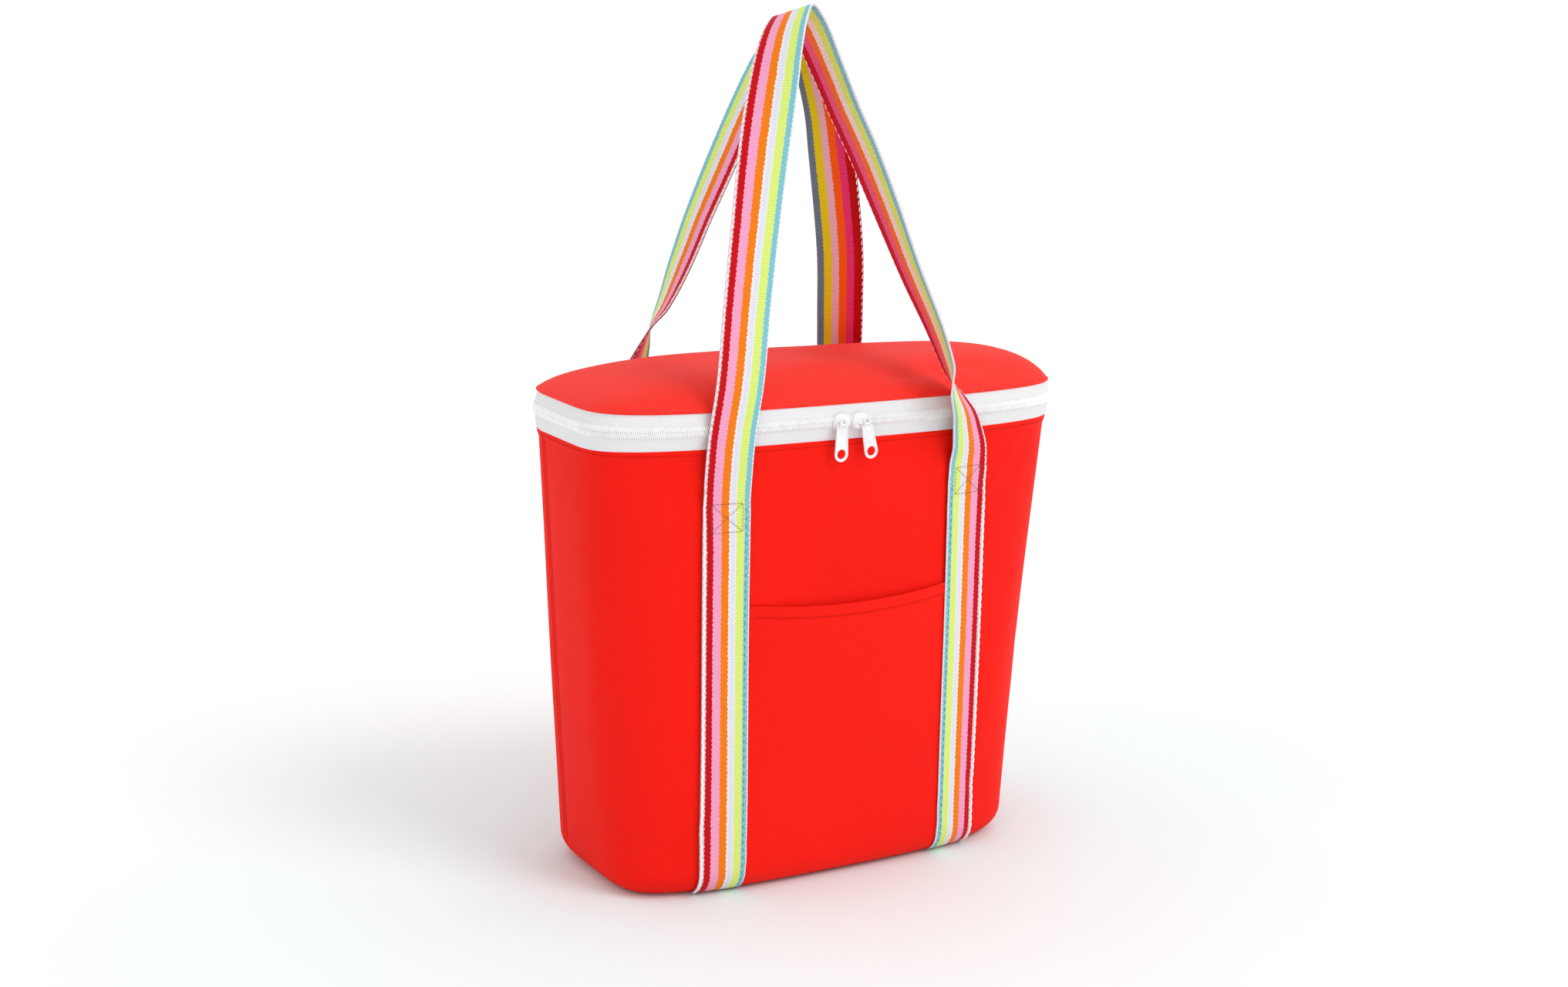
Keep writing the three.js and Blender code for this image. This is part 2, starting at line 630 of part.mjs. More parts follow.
SLIDERS_X.forEach((x, i) => {
  const name = ['left', 'right'][i];
  const face = bandFront(0, PARTING) - CLEARANCE;
  place(`slider_${name}`, toGeometry(slider(x, face)), WHITE_PLASTIC);
  place(`pull_${name}`, toGeometry(pull(x, face - SLIDER_BODY - BAR_OUT)), WHITE_PLASTIC);
});

export default bag;
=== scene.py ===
"""Looks of the insulated cooler bag: padded fabric shell and lid, striped webbing, zip and foil lining.

Shapes are worked out in millimetres in the frame's own axes and turned into metres when a piece is made.
"""
import math

import bmesh
import bpy
import numpy as np
from mathutils import Matrix, Vector, noise


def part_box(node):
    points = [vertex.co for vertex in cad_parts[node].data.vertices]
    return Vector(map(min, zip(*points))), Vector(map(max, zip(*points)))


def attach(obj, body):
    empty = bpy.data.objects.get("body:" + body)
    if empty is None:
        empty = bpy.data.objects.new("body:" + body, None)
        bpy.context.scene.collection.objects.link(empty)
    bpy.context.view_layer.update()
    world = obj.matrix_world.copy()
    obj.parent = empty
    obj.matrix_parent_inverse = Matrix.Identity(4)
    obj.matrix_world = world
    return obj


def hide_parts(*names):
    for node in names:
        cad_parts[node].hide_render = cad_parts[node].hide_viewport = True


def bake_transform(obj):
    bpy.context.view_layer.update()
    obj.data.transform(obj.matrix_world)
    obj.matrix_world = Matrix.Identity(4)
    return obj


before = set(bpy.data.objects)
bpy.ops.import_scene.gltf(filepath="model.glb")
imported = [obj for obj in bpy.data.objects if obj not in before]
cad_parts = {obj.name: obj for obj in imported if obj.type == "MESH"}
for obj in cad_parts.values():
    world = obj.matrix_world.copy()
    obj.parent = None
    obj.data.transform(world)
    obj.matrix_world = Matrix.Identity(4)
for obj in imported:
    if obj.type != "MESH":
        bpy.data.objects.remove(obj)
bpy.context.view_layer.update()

MM = 0.001


def low(node):
    return np.array(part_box(node)[0]) / MM


def high(node):
    return np.array(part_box(node)[1]) / MM


# ---------------------------------------------------------------- sizes, in millimetres
BODY_TOP = high("front_panel")[2]
BODY_FOOT = low("front_panel")[2]
TOP_HALF = (207.0, 84.5)
BASE_HALF = (181.0, 88.0)
LID_HALF = (high("lid_panel")[0], high("lid_panel")[1])
LID_EDGE = high("upper_zip_tape")[2] + 1.5
LID_DOME = high("lid_panel")[2] - LID_EDGE
LID_FULLNESS = 4.2        # how far the lid's crown stays full towards its edge
LID_END = (9.7, -0.012, 0.051)     # the extra fullness round the right end: how much, where and how wide
END_POWER = 2.85          # roundness of the plan outline's ends
SIDE_POWER = 4.9          # flatness of its long sides
CURL = 21.0               # radius of the body's turn-in at the base
WALL_FOOT = 1.1           # where the turned-in wall meets the base
FABRIC = 0.9
FOAM = 5.0
PADDING = FABRIC + 0.3 + FOAM      # the two with a little air between them
LINER_INSET = 6.5
LINER = 0.6
LID_HEM = 0.8             # the lid's foam and fabric end this far below its edge

PARTING = 0.5 * (high("lower_zip_coil")[2] + low("upper_zip_coil")[2])
LID_SEAM = LID_EDGE - 1.2
BAND_BULGE = 6.0
ZIP_END_X = 165.0
COIL_REACH = 4.3          # a coil's legs, from the parting line outwards
COIL_PITCH = 1.5

WEBBING_WIDTH = 38.0
STRAP_X = 107.5
STRAP_X_HEIGHT = 75.0
STRAP_LEAN = -0.0155
BOX_STITCH_TOP = high("front_left_strap")[2]
BOX_STITCH = (25.0, 21.6)
BEND = ((0, 0, (BOX_STITCH_TOP - 0.8) * MM), (0, 0, (BOX_STITCH_TOP + 6) * MM))     # two points by the top of the box stitch, in metres
TAB_MIDDLE = 321.4        # height where a sewn strap's webbing meets the handle's
FOLD_HEIGHT = 326.1
TAB_END_Y = 85.5
STRAP_OUT = {-1: 1.5, 1: 0.8}      # how far sewn webbing stands off the fabric, front and back
STRAP_HALF = 0.8          # half its thickness
STRAP_FREE = (302, 314)   # heights between which it leaves the wall for the handle's line
STRAP_FINE = 298          # height above which its rows lie closer

TAPE_THICK = 0.9
POLYESTER_PITCH = 0.00095    # of its threads, in metres, as are the next four
TAPE_PITCH = 0.0007
WEBBING_RIBS = (0.00105, 0.0012)
STRIPE_SWAY = 0.0036
THREAD_LAY = 0.0006

POCKET_TOP = high("pocket_panel")[2]
POCKET_DIP = 5.0
POCKET_HALF = high("pocket_panel")[0]
POCKET_OUT = 0.3
POCKET_UNDER = 92.0       # where its sewn edges end, under the straps

FORWARD = (0, -1.0, 0)
FLOOR_HALF = 900.0        # metres

# ---------------------------------------------------------------- plan outlines


def outline(t, half_length, half_depth):
    """X and Y of the plan outline at angles t: 0 is the +X end and -90 degrees the middle of the front."""
    c, s = np.cos(t), np.sin(t)
    reach = 1 / np.maximum(np.abs(c), np.abs(s))
    for _ in range(12):
        ends = np.abs(reach * c) ** END_POWER
        sides = np.abs(reach * s) ** SIDE_POWER
        reach = reach - reach * (ends + sides - 1) / (END_POWER * ends + SIDE_POWER * sides)
    return half_length * reach * c, half_depth * reach * s


def outline_normal(t, half_length, half_depth):
    x0, y0 = outline(t - 0.01, half_length, half_depth)
    x1, y1 = outline(t + 0.01, half_length, half_depth)
    nx, ny = y1 - y0, x0 - x1
    size = np.hypot(nx, ny)
    return nx / size, ny / size


FINE_ANGLES = np.linspace(0, 2 * math.pi, 1441)
_fine = np.stack(outline(FINE_ANGLES, *LID_HALF), 1)
FINE_LENGTHS = np.concatenate([[0], np.cumsum(np.hypot(*np.diff(_fine, axis=0).T))])
PERIMETER = FINE_LENGTHS[-1]


def angle_at(share):
    """Angle at a share of the way round: 0 is the +X end, 0.25 the back, 0.5 the -X end, 0.75 the front."""
    turns = np.floor(share)
    return np.interp((share - turns) * PERIMETER, FINE_LENGTHS, FINE_ANGLES) + 2 * math.pi * turns


def share_at(t):
    t = np.mod(t, 2 * math.pi)
    return np.interp(t, FINE_ANGLES, FINE_LENGTHS) / PERIMETER


def front_depth(x, half_length, half_depth):
    rest = np.clip(1 - (np.abs(x) / half_length) ** END_POWER, 0.02, 1)
    return half_depth * rest ** (1 / SIDE_POWER)


def body_size(z):
    rise = z / BODY_TOP
    return [a + (b - a) * rise for a, b in zip(BASE_HALF, TOP_HALF)]


def curl_inset(z):
    """How far the body has turned in near the base, a quarter round."""
    below = np.clip(CURL - z, 0, CURL)
    return CURL - np.sqrt(CURL**2 - below**2)


def round_heights(lowest, count):
    """Heights at even steps round the turn-in, from the lowest to where the wall stands straight."""
    return CURL * (1 - np.sin(np.linspace(math.asin(1 - lowest / CURL), 0, count)))


def band_size(z):
    rise = (z - BODY_TOP) / (LID_SEAM - BODY_TOP)
    bulge = BAND_BULGE * 0.55 * np.sin(math.pi * np.clip(rise, 0, 1))
    half_length = TOP_HALF[0] + 2 + (LID_HALF[0] - TOP_HALF[0] - 2) * rise + bulge * 0.35
    half_depth = TOP_HALF[1] + 1 + (LID_HALF[1] - TOP_HALF[1] - 1) * rise + bulge * 0.5
    return [half_length, half_depth]


def smooth(x, start, end):
    s = np.clip((np.asarray(x, float) - start) / (end - start), 0, 1)
    return s * s * (3 - 2 * s)


def hump(x, middle, width):
    return np.exp(-(((np.asarray(x, float) - middle) / width) ** 2))


# ---------------------------------------------------------------- arrays of points


def xyz(x, y, z):
    """Points from their coordinates, each one number or an array."""
    return np.stack(np.broadcast_arrays(x, y, z), -1)


def looped(rows):
    """Rows with their first column again at the end."""
    return np.concatenate([rows, rows[:, :1]], 1)


def quads(grid):
    """The four corners of each cell of a grid."""
    return np.stack([grid[:-1, :-1], grid[:-1, 1:], grid[1:, 1:], grid[1:, :-1]], 2)


def unit(vectors, least=0.0):
    return vectors / (np.linalg.norm(vectors, axis=-1, keepdims=True) + least)


def distances(path):
    """How far along a path each of its points lies."""
    return np.concatenate([[0], np.cumsum(np.linalg.norm(np.diff(path, axis=0), axis=1))])


def between(x, places, rows):
    """Rows of numbers that are known at places, as they are at x."""
    return np.stack([np.interp(x, places, rows[:, k]) for k in range(rows.shape[1])], 1)


def shrunk(ring, sizes):
    return [ring * [size, size, 1] for size in sizes]


def ripple(points, scale, level=0.0):
    """Slow noise at points. scale: along each axis; level: where the noise is cut."""
    places = points.reshape(-1, 3) * scale + [0, 0, level]
    return np.array([noise.noise(Vector(p)) for p in places.tolist()]).reshape(points.shape[:-1])


def flat_map(rings, axes=(0, 1)):
    """Cloth map of closed rings, as they lie in the plane of two axes."""
    return looped(rings)[..., list(axes)] * MM


# ---------------------------------------------------------------- meshes


def linked(name, data):
    """A new object in the scene."""
    made = bpy.data.objects.new(name, data)
    bpy.context.scene.collection.objects.link(made)
    return made


class Shape:
    """Gathers points and faces in millimetres, with a cloth map in metres, and makes one piece of them."""

    def __init__(self):
        self.points, self.count, self.faces, self.maps, self.slots = [], 0, [], [], []

    def add(self, points):
        points = np.asarray(points, float)
        first = self.count
        self.points.append(points.reshape(-1, 3))
        self.count += len(self.points[-1])
        return np.arange(first, self.count).reshape(points.shape[:-1])

    def face(self, corners, cloth=(0, 0), slot=0):
        """corners: (faces, corners of each) point numbers; cloth: the same with 2 numbers each."""
        self.faces.append(corners)
        self.maps.append(np.broadcast_to(np.asarray(cloth, float), corners.shape + (2,)))
        self.slots.append(np.full(len(corners), slot))

    def grid(self, index, cloth, wrap=False, slot=0):
        """Quads over rows and columns of points. With wrap, cloth has one more column than index."""
        index = looped(index) if wrap else index
        self.face(quads(index).reshape(-1, 4), quads(cloth).reshape(-1, 4, 2), slot)

    def solid(self, rings, cloth):
        """A closed solid over rings of points, with both ends filled."""
        index = self.add(rings)
        self.grid(index, cloth, True)
        for end in (index[:1], index[-1:]):
            self.face(end)

    def piece(self, name, materials, body=None, slot=None, replaced=(), sharp=35):
        mesh = bpy.data.meshes.new(name)
        faces = [f for block in self.faces for f in block.tolist()]
        mesh.from_pydata((np.concatenate(self.points) * MM).tolist(), [], faces)
        layer = mesh.uv_layers.new(name="cloth")
        layer.data.foreach_set("uv", np.concatenate([m.reshape(-1) for m in self.maps]).astype(np.float32))
        for material in materials:
            mesh.materials.append(material)
        mesh.polygons.foreach_set("material_index", np.concatenate(self.slots).astype(np.int32))
        mesh.validate()
        work = bmesh.new()
        work.from_mesh(mesh)
        bmesh.ops.recalc_face_normals(work, faces=work.faces)
        work.to_mesh(mesh)
        work.free()
        mesh.polygons.foreach_set("use_smooth", np.ones(len(mesh.polygons), bool))
        mesh.set_sharp_from_angle(angle=math.radians(sharp))
        made = linked(name, mesh)
        if body:
            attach(made, body)
        if replaced:
            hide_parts(*replaced)
        return made


def layered(shape, outer, inner, cloth, wrap=False, slots=(0, 0, 0)):
    """A closed sheet between two grids of points: outer face, inner face and edges."""
    a, b = shape.add(outer), shape.add(inner)
    shape.grid(a, cloth, wrap, slots[0])
    shape.grid(b, cloth, wrap, slots[1])
    edges = [(a[0], b[0], cloth[0]), (a[-1], b[-1], cloth[-1])]
    if not wrap:
        edges += [(a[:, 0], b[:, 0], cloth[:, 0]), (a[:, -1], b[:, -1], cloth[:, -1])]
    for one, other, line in edges:
        shape.grid(np.stack([one, other]), np.stack([line, line]), wrap, slots[2])
    return a, b


def layered_piece(name, outer, inner, cloth, *piece, slots=(0, 0, 0)):
    shape = Shape()
    layered(shape, outer, inner, cloth, slots=slots)
    return shape.piece(name, *piece)


def tubes(shape, lines, outs, radii, sides=6, slot=0, flat=1.0):
    """Short closed tubes along lines of (tubes, stations, 3), or along one line. outs, the direction that
    flat squashes, and radii are given for all, for each station or for each point."""
    lines = lines.reshape(-1, *lines.shape[-2:])
    along = unit(np.gradient(lines, axis=1), 1e-9)
    across = unit(np.cross(along, outs), 1e-9)
    up = np.cross(across, along)
    turn = np.linspace(0, 2 * math.pi, sides, endpoint=False)
    radii = np.broadcast_to(radii, lines.shape[:2])[..., None, None]
    ring = across[:, :, None] * np.cos(turn)[:, None] + up[:, :, None] * np.sin(turn)[:, None] * flat
    index = shape.add(lines[:, :, None] + ring * radii)
    near, far = index[:, :-1], index[:, 1:]
    corners = np.stack([near, np.roll(near, -1, 2), np.roll(far, -1, 2), far], 3).reshape(-1, 4)
    length = np.linspace(0, 0.003, index.shape[1])[:, None]
    u, v, w, _ = np.broadcast_arrays(length[:-1], length[1:], np.arange(sides) / sides * 0.002, near)
    cloth = np.stack([np.stack([a, w], 3) for a in (u, u, v, v)], 3)
    shape.face(corners, cloth.reshape(-1, 4, 2), slot)
    for end in (0, -1):
        shape.face(index[:, end], slot=slot)


def stretches(path, outs, pitch, stations):
    """Even stretches of a path: how far along their middles lie, and points and outward directions at
    stations counted from each middle."""
    lengths = distances(path)
    middles = np.arange(pitch / 2, lengths[-1], pitch)
    where = middles[:, None] + stations
    pick = lambda rows: between(where.ravel(), lengths, rows).reshape(*where.shape, 3)
    return middles, pick(path), pick(np.broadcast_to(outs, path.shape))


def stitch_row(shape, path, outs, pitch=3.2, length=2.5, radius=0.28, slot=0):
    """A row of stitches lying on a surface."""
    _, lines, ups = stretches(path, outs, pitch, np.array([-0.5, -0.36, 0, 0.36, 0.5]) * length)
    ups = unit(ups)
    sink = np.array([-0.8, 0.1, 0.55, 0.1, -0.8]) * radius
    tubes(shape, lines + ups * sink[:, None], ups, radius * np.array([0.5, 0.9, 1, 0.9, 0.5]), 6, slot)


# ---------------------------------------------------------------- materials


def srgb(r, g, b):
    """A colour seen on screen as r, g, b from 0 to 255."""
    line = lambda c: c / 12.92 if c <= 0.04045 else ((c + 0.055) / 1.055) ** 2.4
    return tuple(line(c / 255) for c in (r, g, b)) + (1.0,)


class Finish:
    """A procedural material: short calls that add nodes and pass their outputs on."""

    def __init__(self, name):
        self.material = bpy.data.materials.new(name)
        self.material.use_nodes = True
        self.tree = self.material.node_tree

    def plug(self, node, values):
        """Sets a node's inputs, or joins other nodes' outputs to them."""
        for socket, value in values:
            if isinstance(value, bpy.types.NodeSocket):
                self.tree.links.new(value, node.inputs[socket])
            else:
                node.inputs[socket].default_value = value
        return node

    def node(self, kind, values=(), **settings):
        made = self.tree.nodes.new(kind)
        for key, value in settings.items():
            setattr(made, key, value)
        return self.plug(made, values)

    def math(self, operation, *values):
        return self.node("ShaderNodeMath", enumerate(values), operation=operation).outputs[0]

    def scaled(self, value, factor, start):
        """factor times value, from start."""
        return self.math("MULTIPLY_ADD", value, factor, start)

    def cloth(self):
        """The cloth map, and its numbers across and along, in metres."""
        both = self.node("ShaderNodeUVMap", uv_map="cloth").outputs[0]
        parts = self.node("ShaderNodeSeparateXYZ", [(0, both)])
        return both, parts.outputs[0], parts.outputs[1]

    def place(self):
        """Where a point lies in its object."""
        return self.node("ShaderNodeTexCoord").outputs["Object"]

    def noise(self, vector, scale, detail=2.0, roughness=0.5):
        links = [("Vector", vector), ("Scale", scale), ("Detail", detail), ("Roughness", roughness)]
        return self.node("ShaderNodeTexNoise", links).outputs[0]

    def ramp(self, value, stops, steps=False):
        made = self.node("ShaderNodeValToRGB", [(0, value)])
        ramp = made.color_ramp
        ramp.interpolation = "CONSTANT" if steps else "LINEAR"
        while len(ramp.elements) < len(stops):
            ramp.elements.new(1.0)
        for element, (place, colour) in zip(ramp.elements, stops):
            element.position = place
            element.color = colour
        return made.outputs[0]

    def weave(self, u, v, across, along):
        """Height from 0 to 1 of a plain weave with threads every across and along metres."""
        a, b = self.math("DIVIDE", u, across), self.math("DIVIDE", v, along)
        column, row = self.math("FLOOR", a), self.math("FLOOR", b)
        over = self.math("LESS_THAN", self.math("FLOORED_MODULO", self.math("ADD", column, row), 2.0), 0.99)
        wave = lambda x: self.math("SINE", self.math("MULTIPLY", self.math("FRACT", x), math.pi))
        warp, weft = wave(a), wave(b)
        top, side = (self.scaled(minor, 0.3, self.math("MULTIPLY", major, 0.7))
                     for minor, major in ((weft, warp), (warp, weft)))
        return self.math("ADD", self.math("MULTIPLY", top, over),
                         self.math("MULTIPLY", side, self.math("SUBTRACT", 1.0, over)))

    def done(self, colour, roughness, height=None, depth=0.0001, strength=0.6, sheen=0.0, metallic=0.0,
             tint=(1, 1, 1, 1), specular=0.5):
        surface = self.plug(self.tree.nodes["Principled BSDF"], {
            "Base Color": colour, "Roughness": roughness, "Metallic": metallic, "Specular IOR Level": specular,
            "Sheen Weight": sheen, "Sheen Roughness": 0.4, "Sheen Tint": tint}.items())
        if height is not None:
            links = [("Strength", strength), ("Distance", depth), ("Height", height)]
            self.plug(surface, [("Normal", self.node("ShaderNodeBump", links).outputs[0])])
        return self.material


def polyester(name, bright, deep, blotch=5.0, gloss=0.14):
    """Coated polyester: a fine plain weave, slow changes of tone, and threads that catch the light. Its colour
    is darker where the weave dips: painted shade between the threads.
    """
    f = Finish(name)
    both, u, v = f.cloth()
    height = f.weave(u, v, POLYESTER_PITCH, POLYESTER_PITCH)
    slow = f.noise(both, blotch, 3.0)
    fibre = f.noise(both, 900.0)
    # tone: the weave's height, which paints shade between the threads, with random slow and fine changes on
    # top.
    tone = f.scaled(height, 0.7, f.scaled(slow, 0.4, f.math("MULTIPLY", fibre, 0.2)))
    colour = f.ramp(tone, [(0.3, deep), (0.85, bright)])
    lift = f.scaled(fibre, 0.3, height)
    return f.done(colour, f.scaled(fibre, 0.2, 0.56), lift, 0.00016, 0.9, 0.04, tint=bright, specular=gloss)


def striped_webbing(name, stripes):
    """Striped webbing: bands of coloured yarn across u from 0 to 1, in a coarse brick weave."""
    f = Finish(name)
    both, u, v = f.cloth()
    sway = f.math("SINE", f.math("MULTIPLY", v, 2 * math.pi / STRIPE_SWAY))
    narrow = f.node("ShaderNodeCombineXYZ", [(0, f.math("MULTIPLY", u, 0.004)), (1, v)]).outputs[0]
    wobble = f.scaled(sway, 0.008, f.scaled(f.noise(narrow, 260.0, 1.0), 0.03, -0.015))
    colour = f.ramp(f.math("ADD", u, wobble), stripes, steps=True)
    height = f.weave(f.math("MULTIPLY", u, WEBBING_WIDTH * MM), v, *WEBBING_RIBS)
    fibre = f.noise(both, 600.0)
    shade = f.ramp(f.scaled(height, 0.8, f.math("MULTIPLY", fibre, 0.25)),
                   [(0.15, (0.6, 0.6, 0.63, 1)), (0.7, (1, 1, 1, 1))])
    colour = f.node("ShaderNodeMix", [(0, 1.0), (6, colour), (7, shade)], data_type="RGBA",
                    blend_type="MULTIPLY").outputs[2]
    lift = f.scaled(fibre, 0.3, height)
    return f.done(colour, f.scaled(fibre, 0.15, 0.66), lift, 0.0003, 0.7, 0.03, specular=0.15)


def woven_tape(name, bright, deep):
    f = Finish(name)
    both, u, v = f.cloth()
    height = f.weave(u, v, TAPE_PITCH, TAPE_PITCH * 0.8)
    fibre = f.noise(both, 500.0)
    # Colour is darker where the weave dips: painted shade between the threads, with random fibre tone.
    colour = f.ramp(f.scaled(height, 0.6, f.math("MULTIPLY", fibre, 0.4)), [(0.15, deep), (0.8, bright)])
    return f.done(colour, f.scaled(fibre, 0.2, 0.5), height, 0.00012, 0.5, 0.1, specular=0.4)


def foil(name):
    """Aluminium-faced film quilted by handling: fine crinkles over broad soft dents."""
    f = Finish(name)
    both = f.cloth()[0]
    crinkle = f.node("ShaderNodeTexVoronoi", [("Vector", both), ("Scale", 60.0)], feature="DISTANCE_TO_EDGE")
    broad = f.noise(both, 18.0, 4.0, 0.6)
    fold = f.math("MINIMUM", f.math("MULTIPLY", crinkle.outputs[0], 4.0), 1.0)
    height = f.scaled(fold, 0.4, broad)
    colour = f.ramp(broad, [(0.3, srgb(170, 174, 180)), (0.75, srgb(226, 229, 233))])
    return f.done(colour, f.scaled(broad, 0.25, 0.18), height, 0.0009, 0.45, metallic=0.85)


def plastic(name, bright, deep, roughness=0.32):
    """Moulded or lacquered plastic with a faint grain and handling marks."""
    f = Finish(name)
    grain = f.noise(f.place(), 1800.0)
    marks = f.noise(f.place(), 160.0, 4.0, 0.65)
    colour = f.ramp(marks, [(0.35, deep), (0.7, bright)])
    rough = f.scaled(marks, 0.18, roughness - 0.06)
    return f.done(colour, rough, f.scaled(marks, 0.5, grain), 0.00004, 0.4)


def thread(name, bright, deep):
    """Twisted sewing thread: a fine diagonal lay along each stitch."""
    f = Finish(name)
    _, u, v = f.cloth()
    lay = f.math("SINE", f.math("MULTIPLY", f.math("ADD", u, v), 2 * math.pi / THREAD_LAY))
    # The lay's grooves are coloured darker: painted shade between the twists.
    colour = f.ramp(f.scaled(lay, 0.4, 0.5), [(0.1, deep), (0.8, bright)])
    return f.done(colour, f.scaled(lay, 0.08, 0.55), lay, 0.00008, tint=bright, specular=0.15)


def foam_finish(name):
    f = Finish(name)
    cells = f.node("ShaderNodeTexVoronoi", [("Vector", f.place()), ("Scale", 700.0)]).outputs[0]
    # Each cell is darker towards its middle, where the bump sinks: painted shade in the pores.
    colour = f.ramp(cells, [(0.0, srgb(196, 199, 205)), (0.6, srgb(232, 234, 238))])
    return f.done(colour, f.scaled(cells, 0.2, 0.75), cells, 0.0003, 0.5)


RED = polyester("red polyester", srgb(255, 23, 4), srgb(206, 8, 1))
# The lid's red is lighter in green and blue than the body's red: a painted reflection of the bright
# surroundings on the lid's top. Its gloss is raised as well.
LID_RED = polyester("lid polyester", srgb(255, 40, 22), srgb(214, 16, 8), blotch=7.0, gloss=0.36)
POCKET_RED = polyester("pocket polyester", srgb(255, 25, 6), srgb(206, 9, 2), blotch=6.0)
RED_TRIM = woven_tape("red binding tape", srgb(222, 30, 20), srgb(160, 12, 8))
RED_THREAD = thread("red thread", srgb(226, 26, 16), srgb(160, 8, 5))
CORD_WHITE = thread("white cord", srgb(255, 254, 254), srgb(232, 222, 226))
GREY_THREAD = thread("brown thread", srgb(158, 118, 96), srgb(96, 66, 52))
BLUE_THREAD = thread("slate thread", srgb(120, 150, 168), srgb(70, 92, 108))
TAPE = woven_tape("white zip tape", srgb(238, 238, 239), srgb(208, 209, 212))
COIL = plastic("white nylon coil", srgb(252, 252, 252), srgb(240, 240, 241), 0.36)
LACQUER = plastic("white lacquered slider", srgb(244, 244, 244), srgb(230, 231, 233))
FOIL = foil("foil lining")
FOAM_CELLS = foam_finish("grey foam")

WHITE, LILAC = srgb(244, 243, 246), srgb(232, 233, 248)
OUTER_STRIPES = [(0.0, srgb(226, 202, 208)), (0.055, srgb(208, 2, 18)), (0.195, srgb(250, 168, 204)),
                 (0.375, srgb(252, 130, 16)), (0.535, WHITE), (0.575, LILAC), (0.665, WHITE),
                 (0.69, srgb(226, 246, 128)), (0.86, srgb(132, 204, 218)), (0.968, WHITE)]
# The webbing's underside comes as two copies of one set of stripes. The front handle's copy is lighter, as
# painted light; the rear handle's is darker and bluer, as painted shade. Part of the difference is a shift of
# hue.
LIT_UNDERSIDE_STRIPES = [(0.0, srgb(214, 30, 60)), (0.04, srgb(206, 12, 40)), (0.19, srgb(240, 92, 134)),
                (0.36, srgb(250, 116, 48)), (0.52, srgb(244, 226, 216)), (0.68, srgb(224, 240, 110)),
                (0.85, srgb(140, 200, 216)), (0.968, WHITE)]
SHADED_UNDERSIDE_STRIPES = [(0.0, srgb(150, 4, 12)), (0.04, srgb(190, 4, 14)), (0.20, srgb(232, 56, 120)),
                (0.36, srgb(252, 100, 12)), (0.53, srgb(236, 192, 204)), (0.68, srgb(230, 222, 20)),
                (0.85, srgb(108, 134, 152)), (0.97, srgb(126, 146, 160))]
WEBBING_FACE = striped_webbing("webbing face", OUTER_STRIPES)
WEBBING_UNDERSIDE_LIT = striped_webbing("webbing underside, front, painted light", LIT_UNDERSIDE_STRIPES)
WEBBING_UNDERSIDE_SHADED = striped_webbing("webbing underside, rear, painted shade", SHADED_UNDERSIDE_STRIPES)
WEBBING_MATERIALS = {-1: [WEBBING_FACE, WEBBING_UNDERSIDE_LIT, CORD_WHITE],
                     1: [WEBBING_FACE, WEBBING_UNDERSIDE_SHADED, CORD_WHITE]}

# ---------------------------------------------------------------- body fabric, settled as cloth


def wall_points(share, z, inset=0.0, size=body_size, turned=True):
    """Points on the bag's wall, inset towards the inside, and the outward direction in plan."""
    share, z = np.broadcast_arrays(np.asarray(share, float), np.asarray(z, float))
    half_length, half_depth = size(z)
    t = angle_at(share)
    x, y = outline(t, half_length, half_depth)
    nx, ny = outline_normal(t, half_length, half_depth)
    depth = inset + (curl_inset(z) if turned else 0)
    return xyz(x - nx * depth, y - ny * depth, z), xyz(nx, ny, 0)


def settle(start, pins, pressure=3.0, frames=14):
    """Runs a cloth simulation on closed rings of points in millimetres and gives where they end up."""
    mesh = bpy.data.meshes.new("settling")
    index = np.arange(pins.size).reshape(pins.shape)
    mesh.from_pydata((start.reshape(-1, 3) * MM).tolist(), [], quads(looped(index)).reshape(-1, 4).tolist())
    cloth = linked("settling", mesh)
    group = cloth.vertex_groups.new(name="sewn")
    weights = np.round(pins.ravel(), 2)
    for weight in sorted(set(weights)):
        if weight > 0:
            group.add(np.nonzero(weights == weight)[0].tolist(), float(weight), "REPLACE")
    modifier = cloth.modifiers.new("cloth", "CLOTH")
    stiffness = {"tension_stiffness": 25, "compression_stiffness": 25, "shear_stiffness": 12,
                 "bending_stiffness": 2.0}
    for key, value in {"quality": 5, "mass": 0.25, **stiffness, "air_damping": 2, "vertex_group_mass": "sewn",
                       "use_pressure": True, "uniform_pressure_force": pressure}.items():
        setattr(modifier.settings, key, value)
    modifier.settings.effector_weights.gravity = 0
    modifier.collision_settings.use_collision = False
    scene = bpy.context.scene
    for step in range(1, frames + 1):
        scene.frame_set(step)
    shown = cloth.evaluated_get(bpy.context.evaluated_depsgraph_get())
    moved = np.array([v.co for v in shown.data.vertices], float) / MM
    bpy.data.objects.remove(cloth)
    scene.frame_set(1)
    return moved.reshape(start.shape)


def strap_x(side, z):
    return side * STRAP_X + STRAP_LEAN * (z - STRAP_X_HEIGHT)


FIELD_SHARES = np.linspace(0, 1, 241)[:-1]
FIELD_HEIGHTS = np.linspace(BODY_FOOT, BODY_TOP, 76)
SEAM_BACK = 0.03          # the side seams lie this share of the way round behind the middle of each end
BULGE_CAP = 2.4           # the most that foam lets the fabric stand out


def seam_distance(share):
    """Share of the way round to the nearer side seam."""
    away = lambda seam: np.abs(np.mod(share - seam + 0.5, 1) - 0.5)
    return np.minimum(away(SEAM_BACK), away(0.5 - SEAM_BACK))


